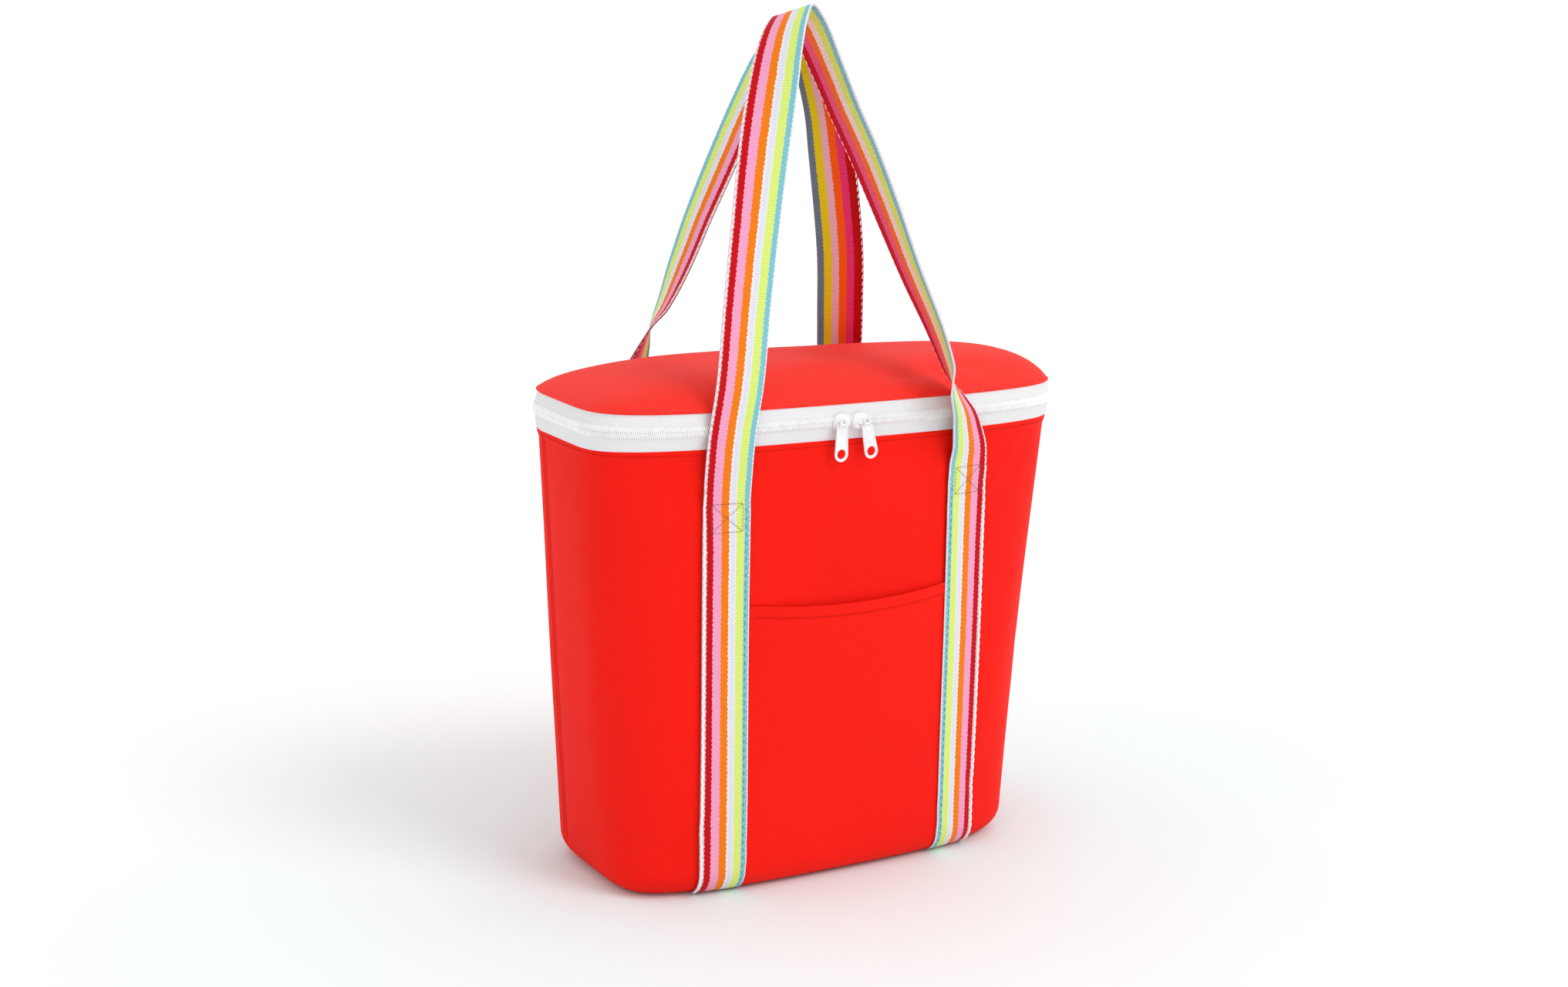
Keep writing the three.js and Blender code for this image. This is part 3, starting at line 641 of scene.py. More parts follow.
def body_field():
    """How far the fabric stands out from the foam at each place of the field's grid."""
    share, z = np.meshgrid(FIELD_SHARES, FIELD_HEIGHTS)
    start, out = wall_points(share, z)
    x = start[..., 0]
    under_straps = np.maximum(hump(x, strap_x(-1, z), 17), hump(x, strap_x(1, z), 17))
    edges = np.maximum(smooth(z, BODY_TOP - 4, BODY_TOP), 1 - smooth(z, BODY_FOOT, BODY_FOOT + 6))
    seams = hump(seam_distance(share), 0, 0.004)
    pins = np.clip(np.maximum(np.maximum(edges, 0.9 * seams), 0.35 * under_straps), 0, 1)
    stand = ((settle(start, pins) - start) * out).sum(-1)
    stand = BULGE_CAP * np.tanh(stand / BULGE_CAP)
    flutter = ripple(start, (0.011, 0.011, 0.007))
    return stand + 0.7 * flutter * smooth(z, BODY_FOOT, 30) * (1 - smooth(z, 330, BODY_TOP))


STAND = body_field()


def stand_out(share, z):
    """The field between its grid's places."""
    column = np.mod(share, 1) * len(FIELD_SHARES)
    row = np.clip((z - BODY_FOOT) / (BODY_TOP - BODY_FOOT), 0, 1) * (len(FIELD_HEIGHTS) - 1)
    c0, r0 = np.floor(column).astype(int), np.minimum(np.floor(row).astype(int), len(FIELD_HEIGHTS) - 2)
    c, r = column - c0, row - r0
    c0, c1 = c0 % len(FIELD_SHARES), (c0 + 1) % len(FIELD_SHARES)
    lower = STAND[r0, c0] * (1 - c) + STAND[r0, c1] * c
    upper = STAND[r0 + 1, c0] * (1 - c) + STAND[r0 + 1, c1] * c
    return lower * (1 - r) + upper * r


HEM_ROLL = 1.3            # the folded upper edge stands over the zip tape
SEAM_SINK = 0.9
TOP_STITCHES = 4.2        # from the body's upper edge down to its row of stitches
SEAM_STITCHES = 3.2       # from a side seam to the rows beside it
SEAM_GAP = 0.0003         # from a side seam to each half's edge, as a share of the way round


def hem_roll(z):
    return HEM_ROLL * smooth(z, BODY_TOP - 9, BODY_TOP - 2.5)


def body_surface(share, z, out=0.0):
    """The outer face of the body fabric, with its rolled upper edge and its two side seams."""
    share, z = np.broadcast_arrays(np.asarray(share, float), np.asarray(z, float))
    points, normal = wall_points(share, z)
    edge = 1.1 * smooth(z, BODY_TOP - 1.2, BODY_TOP)
    from_seam = seam_distance(share) * PERIMETER
    seam = SEAM_SINK * hump(from_seam, 0, 0.9)
    stitched = 0.35 * hump(z, BODY_TOP - TOP_STITCHES, 1.0) + 0.3 * hump(from_seam, SEAM_STITCHES, 0.9)
    reach = stand_out(share, z) + hem_roll(z) - edge - seam - stitched + out
    return points + normal * reach[..., None], normal


def on_body(x, z, out=0.0, face=-1):
    """The fabric's surface at a place across the front (face -1) or the back (face 1)."""
    half_length, half_depth = body_size(z)
    depth = front_depth(x, half_length, half_depth)
    share = share_at(np.arctan2(face * depth / half_depth, x / half_length))
    reach = depth - curl_inset(z) + stand_out(share, z) + hem_roll(z)
    return xyz(x, face * (reach + out), z)


def cloth_map(share, z):
    """Cloth coordinates in metres on the wall."""
    share, z = np.broadcast_arrays(np.asarray(share, float), np.asarray(z, float))
    return np.stack([share * PERIMETER * MM, z * MM], -1)


WALL_HEIGHTS = np.concatenate([round_heights(WALL_FOOT, 16)[:-1], np.linspace(CURL, BODY_TOP - 10, 84)[:-1],
                               np.linspace(BODY_TOP - 10, BODY_TOP, 14)])


def body_half(name, first, last, nodes):
    """Part of the padded wall: outer fabric, foam behind it, from one side seam to the other."""
    steps = np.linspace(first + SEAM_GAP, last - SEAM_GAP, 176)
    near_seam = np.array([SEAM_GAP, 0.0012, 0.002, 0.0028, 0.0036, 0.0046])
    shares = np.unique(np.concatenate([steps, first + near_seam, last - near_seam]))
    share, z = np.meshgrid(shares, WALL_HEIGHTS)
    outer, inner = (body_surface(share, z, out)[0] for out in (0, -PADDING))
    made = layered_piece(name, outer, inner, cloth_map(share, z), [RED, FOAM_CELLS], "bag", "red_polyester",
                         nodes, slots=(0, 1, 0))


body_half("body_front", 0.5 - SEAM_BACK, 1 + SEAM_BACK, ["front_panel", "foam_front"])
body_half("body_back", SEAM_BACK, 0.5 - SEAM_BACK, ["back_panel", "foam_back"])


def body_stitches(name, rows, out, length=2.5):
    """Rows of stitches on the body fabric. rows: their shares of the way round and their heights."""
    shape = Shape()
    for share, z in rows:
        stitch_row(shape, *body_surface(share, z, out), length=length)
    shape.piece(name, [RED_THREAD], "bag")


body_stitches("body_top_stitches", [(np.linspace(0, 1, 900), BODY_TOP - TOP_STITCHES)], 0.12, 2.4)
seam_heights = np.linspace(CURL + 2, BODY_TOP - 6, 200)
for word, seam in (("left", 0.5 - SEAM_BACK), ("right", SEAM_BACK)):
    rows = [(seam + side * SEAM_STITCHES / PERIMETER, seam_heights) for side in (-1, 1)]
    body_stitches(f"{word}_seam_stitches", rows, 0.1)

# ---------------------------------------------------------------- base


def base_block(name, levels, material, slot, node):
    """A closed slab in the bag's outline. levels: heights, and how far each ring lies behind the wall."""
    rings = [wall_points(np.linspace(0, 1, 240, endpoint=False), z, inset)[0] for z, inset in levels]
    sizes = (0.8, 0.5, 0.2, 0.01)
    rings = np.stack(shrunk(rings[0], sizes[::-1]) + rings + shrunk(rings[-1], sizes))
    shape = Shape()
    shape.solid(rings, flat_map(rings))
    shape.piece(name, [material], "bag", slot, [node])


base_block("base_cover", [(2.6, 6.0), (2.5, 2.4), (1.5, 1.0), (0.7, 0.5), (0.2, 0.2), (0.0, 0.1), (0.0, 9.0)],
           RED, "red_polyester", "base_panel")
base_block("base_foam", [(7.5, 10.0), (7.4, 7.6), (5.0, 7.5), (2.9, 7.5), (2.8, 9.0)],
           FOAM_CELLS, "foam", "foam_base")

# ---------------------------------------------------------------- pocket


def pocket_place(x, below):
    """Height and standing-out of the pocket's inner face at a distance below its mouth."""
    within = np.clip(x / POCKET_HALF, -1, 1)
    top = POCKET_TOP - POCKET_DIP * (1 - within**2)
    full = top - WALL_FOOT - 0.3
    rise = 1 - below / full
    free = 1 - np.abs(within) ** 2.2
    gape = 2.6 * free * smooth(rise, 0.55, 1.0) + 0.7 * free * smooth(rise, 0.1, 0.5)
    hem = 0.75 * (1 - smooth(below, 9.0, 10.0)) + 0.5 * hump(below, 0.8, 1.2) - 0.3 * hump(below, 9.5, 1.1)
    under = 1 - 0.7 * smooth(np.abs(x), POCKET_HALF, POCKET_UNDER)
    return top - below, (POCKET_OUT + gape + hem) * under, full


def pocket():
    """Slip pocket: its mouth is hemmed, dips in the middle and stands a little off the body."""
    columns = np.linspace(-POCKET_UNDER, POCKET_UNDER, 96)
    fall = np.concatenate([np.linspace(0, 14, 20)[:-1], np.linspace(14, POCKET_TOP - CURL, 50)[:-1],
                           POCKET_TOP - round_heights(WALL_FOOT + 0.3, 14)[::-1]])
    x, below = np.meshgrid(columns, fall)
    full = pocket_place(x, below)[2]
    z, out, _ = pocket_place(x, below * full / full.max())
    cloth = np.stack([x * MM + 0.3, z * MM], -1)
    made = layered_piece("pocket", on_body(x, z, out + FABRIC), on_body(x, z, out), cloth, [POCKET_RED], "bag",
                         "red_polyester", ["pocket_panel"])
    x = np.linspace(-85, 85, 240)
    z, out, _ = pocket_place(x, 8.6)
    stitches = Shape()
    stitch_row(stitches, on_body(x, z, out + FABRIC + 0.12), FORWARD)
    sewn = stitches.piece("pocket_hem_stitches", [RED_THREAD], "bag")


pocket()

# ---------------------------------------------------------------- webbing


def catmull_rom(points, u, tension=None):
    """A Catmull-Rom curve at u from 0 to 1: centripetal, or uniform with a tension."""
    p = np.asarray(points, float)
    p = np.concatenate([[2 * p[0] - p[1]], p, [2 * p[-1] - p[-2]]])
    place = np.clip(u, 0, 1) * (len(p) - 3)
    i = np.minimum(np.floor(place).astype(int), len(p) - 4)
    w = (place - i)[:, None]
    a, b, c, d = p[i], p[i + 1], p[i + 2], p[i + 3]
    if tension is None:
        gap = lambda m, n: np.maximum(((n - m) ** 2).sum(1) ** 0.25, 1e-4)[:, None]
        g0, g1, g2 = gap(a, b), gap(b, c), gap(c, d)
        start = ((b - a) / g0 - (c - a) / (g0 + g1) + (c - b) / g1) * g1
        end = ((c - b) / g1 - (d - b) / (g1 + g2) + (d - c) / g2) * g1
    else:
        start, end = tension * (c - a), tension * (d - b)
    return b + start * w + (-3 * b + 3 * c - 2 * start - end) * w**2 + (2 * b - 2 * c + start + end) * w**3


def tab_station(side, z, face, turn):
    """The middle of the webbing on the free length between box stitch and fold."""
    start = front_depth(strap_x(side, BOX_STITCH_TOP), *body_size(BOX_STITCH_TOP)) + 2.3
    rise = (z - BOX_STITCH_TOP) / (FOLD_HEIGHT - BOX_STITCH_TOP)
    return [strap_x(side, z), face * (start + (TAB_END_Y - start) * rise), z, turn, 0]


# Stations of each handle: the middle of the webbing, the direction of its width in plan, in degrees from +X
# towards -Y, and how steeply that direction rises.
FRONT_LOOP = [
    [-111, -89, 361, 6, -2], [-106, -90, 400, 6, -2], [-97, -81, 454, 7, -2], [-86, -70, 508, 11, -1],
    [-73, -57, 563, 22, 0], [-60, -45, 608, 40, 3], [-49, -35, 639, 54, 8], [-38, -25, 656, 62, 13],
    [-24, -13, 664, 69, 17], [-7, -6, 652, 76, 18], [13, -1, 623, 82, 19], [26, -9, 590, 85, 19],
    [37, -20, 560, 87, 20], [48, -38, 519, 91, 19], [58, -61, 472, 99, 18], [67, -86, 429, 106, 17],
    [72, -98, 403, 112, 14], [75, -102, 389, 128, 11], [80, -101, 380, 141, 8], [90, -97, 366, 153, 6],
    [97, -92, 352, 161, 4], [102, -88.5, 337, 168, 1],
]
REAR_LOOP = [
    [-106, 89, 350, -10, 0], [-98, 97, 372, -24, -2], [-91, 95, 393, -44, -3], [-85, 91, 414, -63, -6],
    [-79, 84, 430, -76, -3], [-68, 75, 467, -88, 4], [-59, 66, 502, -93, 6], [-47, 54, 544, -97, 8],
    [-32, 45, 588, -98, 5], [-16, 39, 626, -98, 1], [-6, 36, 642, -99, -4], [6, 35, 651, -102, -9],
    [17, 36, 642, -108, -11], [29, 38, 615, -117, -8], [41, 41, 583, -126, -3], [51, 48, 552, -134, -3],
    [64, 58, 511, -144, -2], [77, 70, 467, -149, -2], [88, 84, 412, -153, -3], [96, 94, 380, -160, -2],
    [102, 91, 352, -168, 0],
]
# Across the webbing: the share of its width, and half its thickness there.
ACROSS = [(0, 0.18), (0.008, 0.62), (0.022, 0.9), (0.045, 1.0), (0.07, 0.9), (0.085, 0.72), (0.12, 0.78),
          (0.18, 0.8), (0.26, 0.8), (0.34, 0.8), (0.42, 0.8), (0.5, 0.8), (0.58, 0.8), (0.66, 0.8), (0.74, 0.8),
          (0.82, 0.8), (0.89, 0.8), (0.93, 0.78), (0.955, 0.7), (0.975, 0.84), (0.99, 0.66), (1, 0.18)]
SHARES = np.array([s for s, _ in ACROSS])
HALF_THICK = np.array([h for _, h in ACROSS])


def handle_rings(stations, step=2.4):
    """Sections of a handle at even steps: middle, width direction, face direction, way along and distance."""
    stations = np.asarray(stations, float)
    u = np.linspace(0, 1, 3000)
    path = catmull_rom(stations[:, :3], u)
    lengths = distances(path)
    at = np.linspace(0, lengths[-1], int(lengths[-1] / step) + 1)
    middle = between(at, lengths, path)
    turn, tilt = np.radians(between(at, lengths, catmull_rom(stations[:, 3:], u, 0.4))).T
    along = unit(np.gradient(middle, axis=0))
    width = xyz(np.cos(turn) * np.cos(tilt), -np.sin(turn) * np.cos(tilt), np.sin(tilt))
    return middle, width, unit(np.cross(width, along)), along, at


def web_faces(shape, outer, inner, lengths, shares=SHARES):
    """The webbing's skin: outer and inner rows of points for each section, joined along both edges."""
    a, b = shape.add(outer), shape.add(inner[:, 1:-1])
    cloth = np.stack(np.broadcast_arrays(shares, np.asarray(lengths)[:, None] * MM), -1)
    back = np.concatenate([a[:, :1], b, a[:, -1:]], 1)
    shape.grid(a, cloth)
    shape.grid(back, cloth, slot=1)
    for end in (0, -1):
        shape.grid(np.stack([a[end], back[end]]), np.stack([cloth[end], cloth[end]]))


BRAID_PITCH = 6.2
HANDLE_TURNS = (5.9, 174.1)     # the front handle's width direction at its two ends, in degrees
HANDLE_CORD = 0.6               # radius of its cords
CORD_PLACE = 0.026              # their share of the webbing's width
CORD = (1.15, 0.8)              # radius of the corded selvedge where it is sewn down, and where it is free
CORD_NARROWS = (262, 321)       # heights between which it narrows
CORD_SHIFT = 0.034              # how far it pushes the stripes aside


def braid(shape, path, outs, radius):
    """The corded outer selvedge: long lens-shaped links, each laid over the end of the next."""
    at, lines, ups = stretches(path, outs, BRAID_PITCH, np.linspace(-0.62, 0.62, 7) * BRAID_PITCH)
    side = np.cross(unit(np.gradient(lines, axis=1), 1e-9), ups)
    radius = np.interp(at, distances(path), np.broadcast_to(radius, len(path)))[:, None]
    sway = radius * np.linspace(-0.6, 0.6, 7)
    rise = radius * (0.35 * np.cos(np.linspace(-1.4, 1.4, 7)) - 0.12)
    lines = lines + side * sway[..., None] + ups * rise[..., None]
    tubes(shape, lines, ups, radius * np.array([0.3, 0.72, 0.95, 1.0, 0.95, 0.72, 0.3]), 8, 2, 0.62)


def handle(word, stations, face):
    """A handle with the upper half of its two tabs."""
    turn, last = (-face * angle for angle in HANDLE_TURNS)
    stations = [tab_station(-1, TAB_MIDDLE, face, turn), tab_station(-1, FOLD_HEIGHT, face, turn * 1.18),
                *stations,
                tab_station(1, FOLD_HEIGHT, face, last - turn * 0.18), tab_station(1, TAB_MIDDLE, face, last)]
    middle, width, normal, along, at = handle_rings(stations)
    outward = normal * -face
    spread = width[:, None] * ((SHARES - 0.5) * WEBBING_WIDTH)[:, None]
    lift = outward[:, None] * HALF_THICK[:, None]
    outer, inner = middle[:, None] + spread + lift, middle[:, None] + spread - lift
    shape = Shape()
    web_faces(shape, outer, inner, at)
    edge = middle + width * (CORD_PLACE - 0.5) * WEBBING_WIDTH
    for sign in (1, -1):
        braid(shape, edge + outward * 0.55 * sign, outward * sign, HANDLE_CORD)
    nodes = [f"{word}_handle_loop", f"{word}_left_tab", f"{word}_right_tab"]
    made = shape.piece(f"{word}_handle", WEBBING_MATERIALS[face], None, "webbing", nodes, 50)
    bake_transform(made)
    return outer, inner, along, at


def sewn_strap(word, where, side, face, rings):
    """The webbing from the base seam up over the box stitch to where the handle's piece takes over."""
    *skins, along, at = rings
    end = 0 if side < 0 else -1
    rise = along[end] * -side
    levels = np.concatenate([round_heights(WALL_FOOT + 0.4, 14)[:-1], np.arange(CURL, STRAP_FINE, 3.0),
                             np.linspace(STRAP_FINE, TAB_MIDDLE, 12)])
    x, z = np.meshgrid((SHARES - 0.5) * WEBBING_WIDTH * -side, levels)
    x = x + strap_x(side, z)
    drop = ((TAB_MIDDLE - levels) / rise[2])[:, None, None] * rise
    free = smooth(levels, *STRAP_FREE)[:, None, None]
    outer, inner = (on_body(x, z, STRAP_OUT[face] + STRAP_HALF + sign * HALF_THICK, face) * (1 - free)
                    + (skin[end] - drop) * free for skin, sign in zip(skins, (1, -1)))
    lengths = distances(outer[:, 10])
    lengths = lengths - lengths[-1] if side < 0 else at[-1] + lengths[-1] - lengths
    sewn = 1 - smooth(levels, *CORD_NARROWS)
    moved = CORD_SHIFT * sewn[:, None]
    thick = CORD[1] + (CORD[0] - CORD[1]) * sewn
    shape = Shape()
    web_faces(shape, outer, inner, lengths, np.maximum((SHARES - moved) / (1 - moved), 0))
    shares = thick * 1.15 / WEBBING_WIDTH
    edge = np.concatenate([between([share], SHARES, row) for share, row in zip(shares, outer)])
    outs = np.array([0, float(face), 0])
    braid(shape, edge - outs * 0.1, outs, thick)
    made = shape.piece(f"{word}_{where}_webbing", WEBBING_MATERIALS[face], None, "webbing",
                       [f"{word}_{where}_strap"], 50)
    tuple(BEND[0])
    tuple(BEND[1])
    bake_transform(made)
    return outer, levels


def strap_stitches(word, where, side, face, rows, levels):
    """Edge rows that sew the webbing down, and the box stitch with its cross."""
    out = np.array([0, float(face), 0])
    lay = lambda share, z: out * 0.12 + np.stack(
        [[np.interp(b, levels, [np.interp(a, SHARES, row[:, k]) for row in rows]) for k in range(3)]
         for a, b in zip(share, z)])
    shape = Shape()
    z = np.linspace(5, BOX_STITCH_TOP - 1, 140)
    for share, slot, length in ((0.905, 1, 3.4), (0.052, 0, 1.1)):
        stitch_row(shape, lay(np.full(len(z), share), z), out, BRAID_PITCH, length, 0.24, slot)
    half = BOX_STITCH[0] / 2 / WEBBING_WIDTH
    top = TAB_MIDDLE - 0.6 if (side, face) == (1, -1) else BOX_STITCH_TOP + 1.4
    foot = top - BOX_STITCH[1]
    corner = [(0.5 - half, foot), (0.5 + half, foot), (0.5 + half, top), (0.5 - half, top)]
    for a, b in ((0, 1), (1, 2), (2, 3), (3, 0), (0, 2), (1, 3)):
        share, height = np.linspace(corner[a], corner[b], 14).T
        stitch_row(shape, lay(share, height), out, 2.7, 2.2, 0.18, 2)
    made = shape.piece(f"{word}_{where}_stitches", [GREY_THREAD, BLUE_THREAD, GREY_THREAD])
    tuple(BEND[0])
    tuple(BEND[1])
    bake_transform(made)


for word, face, stations in (("front", -1, FRONT_LOOP), ("rear", 1, REAR_LOOP)):
    rings = handle(word, stations, face)
    for where, side in (("left", -1), ("right", 1)):
        strap_stitches(word, where, side, face, *sewn_strap(word, where, side, face, rings))

# ---------------------------------------------------------------- zip band
HINGE_SHARE = 2 * ZIP_END_X / PERIMETER
HINGE_ARC = (0.25 - HINGE_SHARE / 2, 0.25 + HINGE_SHARE / 2)
ZIP_ARC = (HINGE_ARC[1], 1 + HINGE_ARC[0])
TUCK_FOOT, TUCK_TOP = BODY_TOP - 1.6, LID_SEAM + 0.8     # how far the band reaches behind body and lid


def band_surface(share, z, out=0.0):
    points, normal = wall_points(share, z, 0, band_size, False)
    ridge = 0.5 * hump(z, PARTING, 5.5)
    return points + normal * (ridge + out)[..., None], normal


def tape(name, heights, tuck, body, node):
    """One side of the zip's woven tape. tuck: how far its sewn edge goes behind the fabric."""
    share, z = np.meshgrid(np.linspace(*ZIP_ARC, 330), heights)
    outer, inner = (band_surface(share, z, -tuck[:, None] - thick)[0] for thick in (0, TAPE_THICK))
    layered_piece(name, outer, inner, cloth_map(share, z), [TAPE], body, "zip_tape", [node])


lower_heights = np.concatenate([[TUCK_FOOT], np.linspace(BODY_TOP + 0.2, PARTING - 0.12, 16)])
upper_heights = np.concatenate([np.linspace(PARTING + 0.12, LID_SEAM - 0.2, 16), [LID_SEAM + 0.9]])
tape("lower_tape", lower_heights, np.array([1.4] + [0.2] * 16), "bag", "lower_zip_tape")
tape("upper_tape", upper_heights, np.array([0.2] * 16 + [1.6]), "lid", "upper_zip_tape")


def coil(name, side, body, node):
    """One row of the zip's coil: a leg every pitch, from the parting line over the tape, leaning a little."""
    middle = np.arange(ZIP_ARC[0] * PERIMETER + 2, ZIP_ARC[1] * PERIMETER - 2, COIL_PITCH)
    reach = np.array([0.0, 0.5, 1.4, 2.8, 3.8, COIL_REACH])
    stand = np.array([0.2, 0.42, 0.5, 0.42, 0.2, -0.25])
    share = (middle[:, None] + 0.34 * reach) / PERIMETER
    shape = Shape()
    tubes(shape, *band_surface(share, PARTING + side * reach, stand),
          0.66 * np.array([0.9, 1, 1, 1, 0.95, 0.6]), flat=0.7)
    shape.piece(name, [COIL], body, "zip_coil", [node], 60)


coil("lower_coil", -1, "bag", "lower_zip_coil")
coil("upper_coil", 1, "lid", "upper_zip_coil")


def hinge_strip():
    """The woven strip at the back that the lid turns on. It reaches from behind the body's upper edge to behind
    the lid's seam.
    """
    share, z = np.meshgrid(np.linspace(*HINGE_ARC, 120), np.linspace(TUCK_FOOT, TUCK_TOP, 30))
    below, above = 1 - smooth(z, TUCK_FOOT, BODY_TOP + 0.6), smooth(z, LID_SEAM - 0.6, TUCK_TOP)
    tucked = 1.5 * below + 1.5 * above
    points, normal = wall_points(share, z, 0, band_size, False)
    outer, inner = (points - normal * (tucked + thick)[..., None] for thick in (0, TAPE_THICK))
    made = layered_piece("hinge_strip", outer, inner, cloth_map(share, z), [TAPE], None, "zip_tape",
                         ["lower_hinge_strip", "upper_hinge_strip"])
    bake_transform(made)


hinge_strip()


def zip_end(name, arc_end, inward, node):
    """A folded patch sewn over one end of the zip."""
    low_z, high_z = BODY_TOP + 3.4, PARTING + 0.2
    shares = arc_end + inward * np.linspace(3, 15, 14) / PERIMETER
    share, z = np.meshgrid(shares, np.linspace(low_z, high_z, 12))
    along = np.abs(share - arc_end) * PERIMETER
    edge = np.minimum(smooth(along, 3, 4.2), smooth(-along, -15, -13.8))
    edge = edge * smooth(z, low_z, low_z + 1) * (1 - smooth(z, high_z - 1, high_z))
    points, normal = band_surface(share, z)
    layered_piece(name, points + normal * (0.5 + 0.9 * edge)[..., None], points + normal * 0.1,
                  cloth_map(share, z), [TAPE], "bag", "zip_tape", [node])


zip_end("zip_end_left", ZIP_ARC[0], 1, "zip_stop_left")
zip_end("zip_end_right", ZIP_ARC[1], -1, "zip_stop_right")

# ---------------------------------------------------------------- lid


def lid_height(r, share):
    """Height of the lid's face where its outline has shrunk to the share r: a dome with a rolled edge."""
    more, where, width = LID_END
    fullness = LID_FULLNESS + more * hump(np.mod(share - where + 0.5, 1), 0.5, width)
    return LID_EDGE + (LID_DOME - 2.0) * (1 - r**fullness) + 2.0 * (1 - r**40)


LID_RINGS = np.concatenate([[1.0, 0.997, 0.992, 0.985, 0.975, 0.96, 0.94], np.linspace(0.915, 0.02, 42)])
LID_ANGLES = np.linspace(0, 1, 281)[:-1]
LID_CAP = 2.6


def lid_face():
    """The lid's fabric: a cloth sewn round its edge over foam, with the hollows that the photo shows."""
    share, ring = np.meshgrid(LID_ANGLES, LID_RINGS)
    x, y = outline(angle_at(share), 1.0, 1.0)
    start = xyz(x * ring * LID_HALF[0], y * ring * LID_HALF[1], lid_height(ring, share))
    lift = (settle(start, np.clip(smooth(ring, 0.975, 1.0), 0, 1)) - start)[..., 2]
    lift = LID_CAP * np.tanh(lift / LID_CAP) - 1.2 * (1 - ring**6)
    px, py = start[..., 0], start[..., 1]
    dent = 2.6 * hump(px, 62, 34) * hump(py, -66 + 0.08 * (px - 62), 9)
    dent += 1.5 * hump(px, -10, 70) * hump(py, -58, 12)
    dent += 1.1 * hump(px, -60, 40) * hump(py, 40 + 0.3 * px, 16)
    dent += 1.6 * hump(px, 118, 16) * hump(py, -52, 16)
    wave = ripple(start, (0.016, 0.022, 0), 7.3)
    start[..., 2] += lift - dent * smooth(-ring, -0.99, -0.93) + 0.7 * wave * smooth(-ring, -1, -0.9)
    return start


LID_FACE = lid_face()


def lid():
    """Padded lid: fabric face, foam behind it, and an edge turned down over the zip tape."""
    rim_x, rim_y = outline(angle_at(LID_ANGLES), 1.0, 1.0)
    rim = lambda grow, z: xyz(rim_x * (LID_HALF[0] + grow), rim_y * (LID_HALF[1] + grow), z)
    turned_down = [rim(0.2, LID_SEAM - 0.5), rim(0.9, LID_SEAM + 0.1), rim(0.8, LID_SEAM + 0.9)]
    under = LID_FACE[5:] - [0, 0, PADDING]
    under[..., 2] = np.maximum(under[..., 2], LID_EDGE - LID_HEM)
    outer = np.concatenate([turned_down, LID_FACE])
    inner = np.concatenate([[rim(-1.2, LID_SEAM - 0.4), rim(-5.0, LID_EDGE - LID_HEM)], under])
    shape = Shape()
    a, b = shape.add(outer), shape.add(inner)
    cloth, cloth_in = flat_map(outer), flat_map(inner)
    shape.grid(a, cloth, True)
    shape.grid(b, cloth_in, True, 1)
    shape.grid(np.stack([a[0], b[0]]), np.stack([cloth[0], cloth_in[0]]), True)
    shape.face(a[-1:], cloth[-1:, :-1])
    shape.face(b[-1:], cloth_in[-1:, :-1], 1)
    made = shape.piece("lid_cover", [LID_RED, FOAM_CELLS], "lid", "lid_polyester", ["lid_panel", "lid_foam"])


lid()

# ---------------------------------------------------------------- sliders and pulls
PULL_LENGTH = 28.8
PULL_HALF = (5.8, 4.6)    # half its width at the round end and at the neck
PULL_HOLE = 5.9           # from the end to the middle of the hole
BAR = (0.9, 1.0)          # the pull's bar: behind the CAD slider's front, and below the parting line
ROUND_ENDS = np.array([0.3, 0.8, 1, 1, 1, 1, 1, 0.8, 0.3])
# Rings of the slider's plate and crown: width, height, roundness, and how far out.
PLATE = [(14.2, 12.4, 2.6, 0.2), (14.9, 13.1, 2.6, 0.5), (15.1, 13.3, 2.6, 1.0), (14.8, 13.0, 2.5, 1.5),
         (13.8, 12.0, 2.4, 1.8)]
CROWN = [(13.8, 12.2, 2.3, 1.6), (14.0, 12.4, 2.3, 2.2), (13.4, 11.8, 2.3, 2.75), (11.4, 10.0, 2.2, 3.15),
         (6.4, 5.6, 2.1, 3.4), (2.0, 1.8, 2.0, 3.45)]


def rounded(width, height, power, count=40):
    """A rounded outline in the XZ plane."""
    t = np.linspace(0, 2 * math.pi, count, endpoint=False)
    side = lambda size, a: size / 2 * np.sign(a) * np.abs(a) ** (2 / power)
    return xyz(side(width, np.cos(t)), 0, side(height, np.sin(t)))


def slider(name, x, face, node):
    """Zip slider: a plate with turned-in flanges under a domed crown that holds the pull's bail."""
    shape = Shape()
    for levels, lift in ((PLATE, 0), (CROWN, 0.4)):
        rings = np.stack([rounded(*sizes) + [x, face, PARTING] + [0, 0, lift] - [0, out, 0]
                          for *sizes, out in levels])
        shape.solid(rings, flat_map(rings, (0, 2)))
    for rib in (-3.0, -0.4, 2.2):
        half = 4.6 - 0.28 * abs(rib)
        across = np.linspace(-half, half, 9)
        out = 3.3 - 0.035 * across**2 - 0.02 * rib**2
        tubes(shape, xyz(x + across, face - out, PARTING + 0.4 + rib), FORWARD, 0.62 * ROUND_ENDS, 8)
    turn = np.linspace(-0.5 * math.pi, 0.5 * math.pi, 11)
    reach = face - 1.6 - (low(node)[1] + BAR[0])
    arch = xyz(x + 4.4 * np.sin(turn), face - 1.6 - reach * np.cos(turn) ** 0.6, PARTING - BAR[1])
    tubes(shape, arch, (0, 0, 1.0), 0.9, 10)
    for side in (-1, 1):
        flange = np.linspace(-5.4, 5.4, 9)
        line = xyz(x + flange, face + 0.2, PARTING + side * (5.0 - 0.9 * (flange / 5.4) ** 2))
        tubes(shape, line, FORWARD, 0.8 * ROUND_ENDS, 8)
    shape.piece(name, [LACQUER], node, "slider_metal", [node], 45)


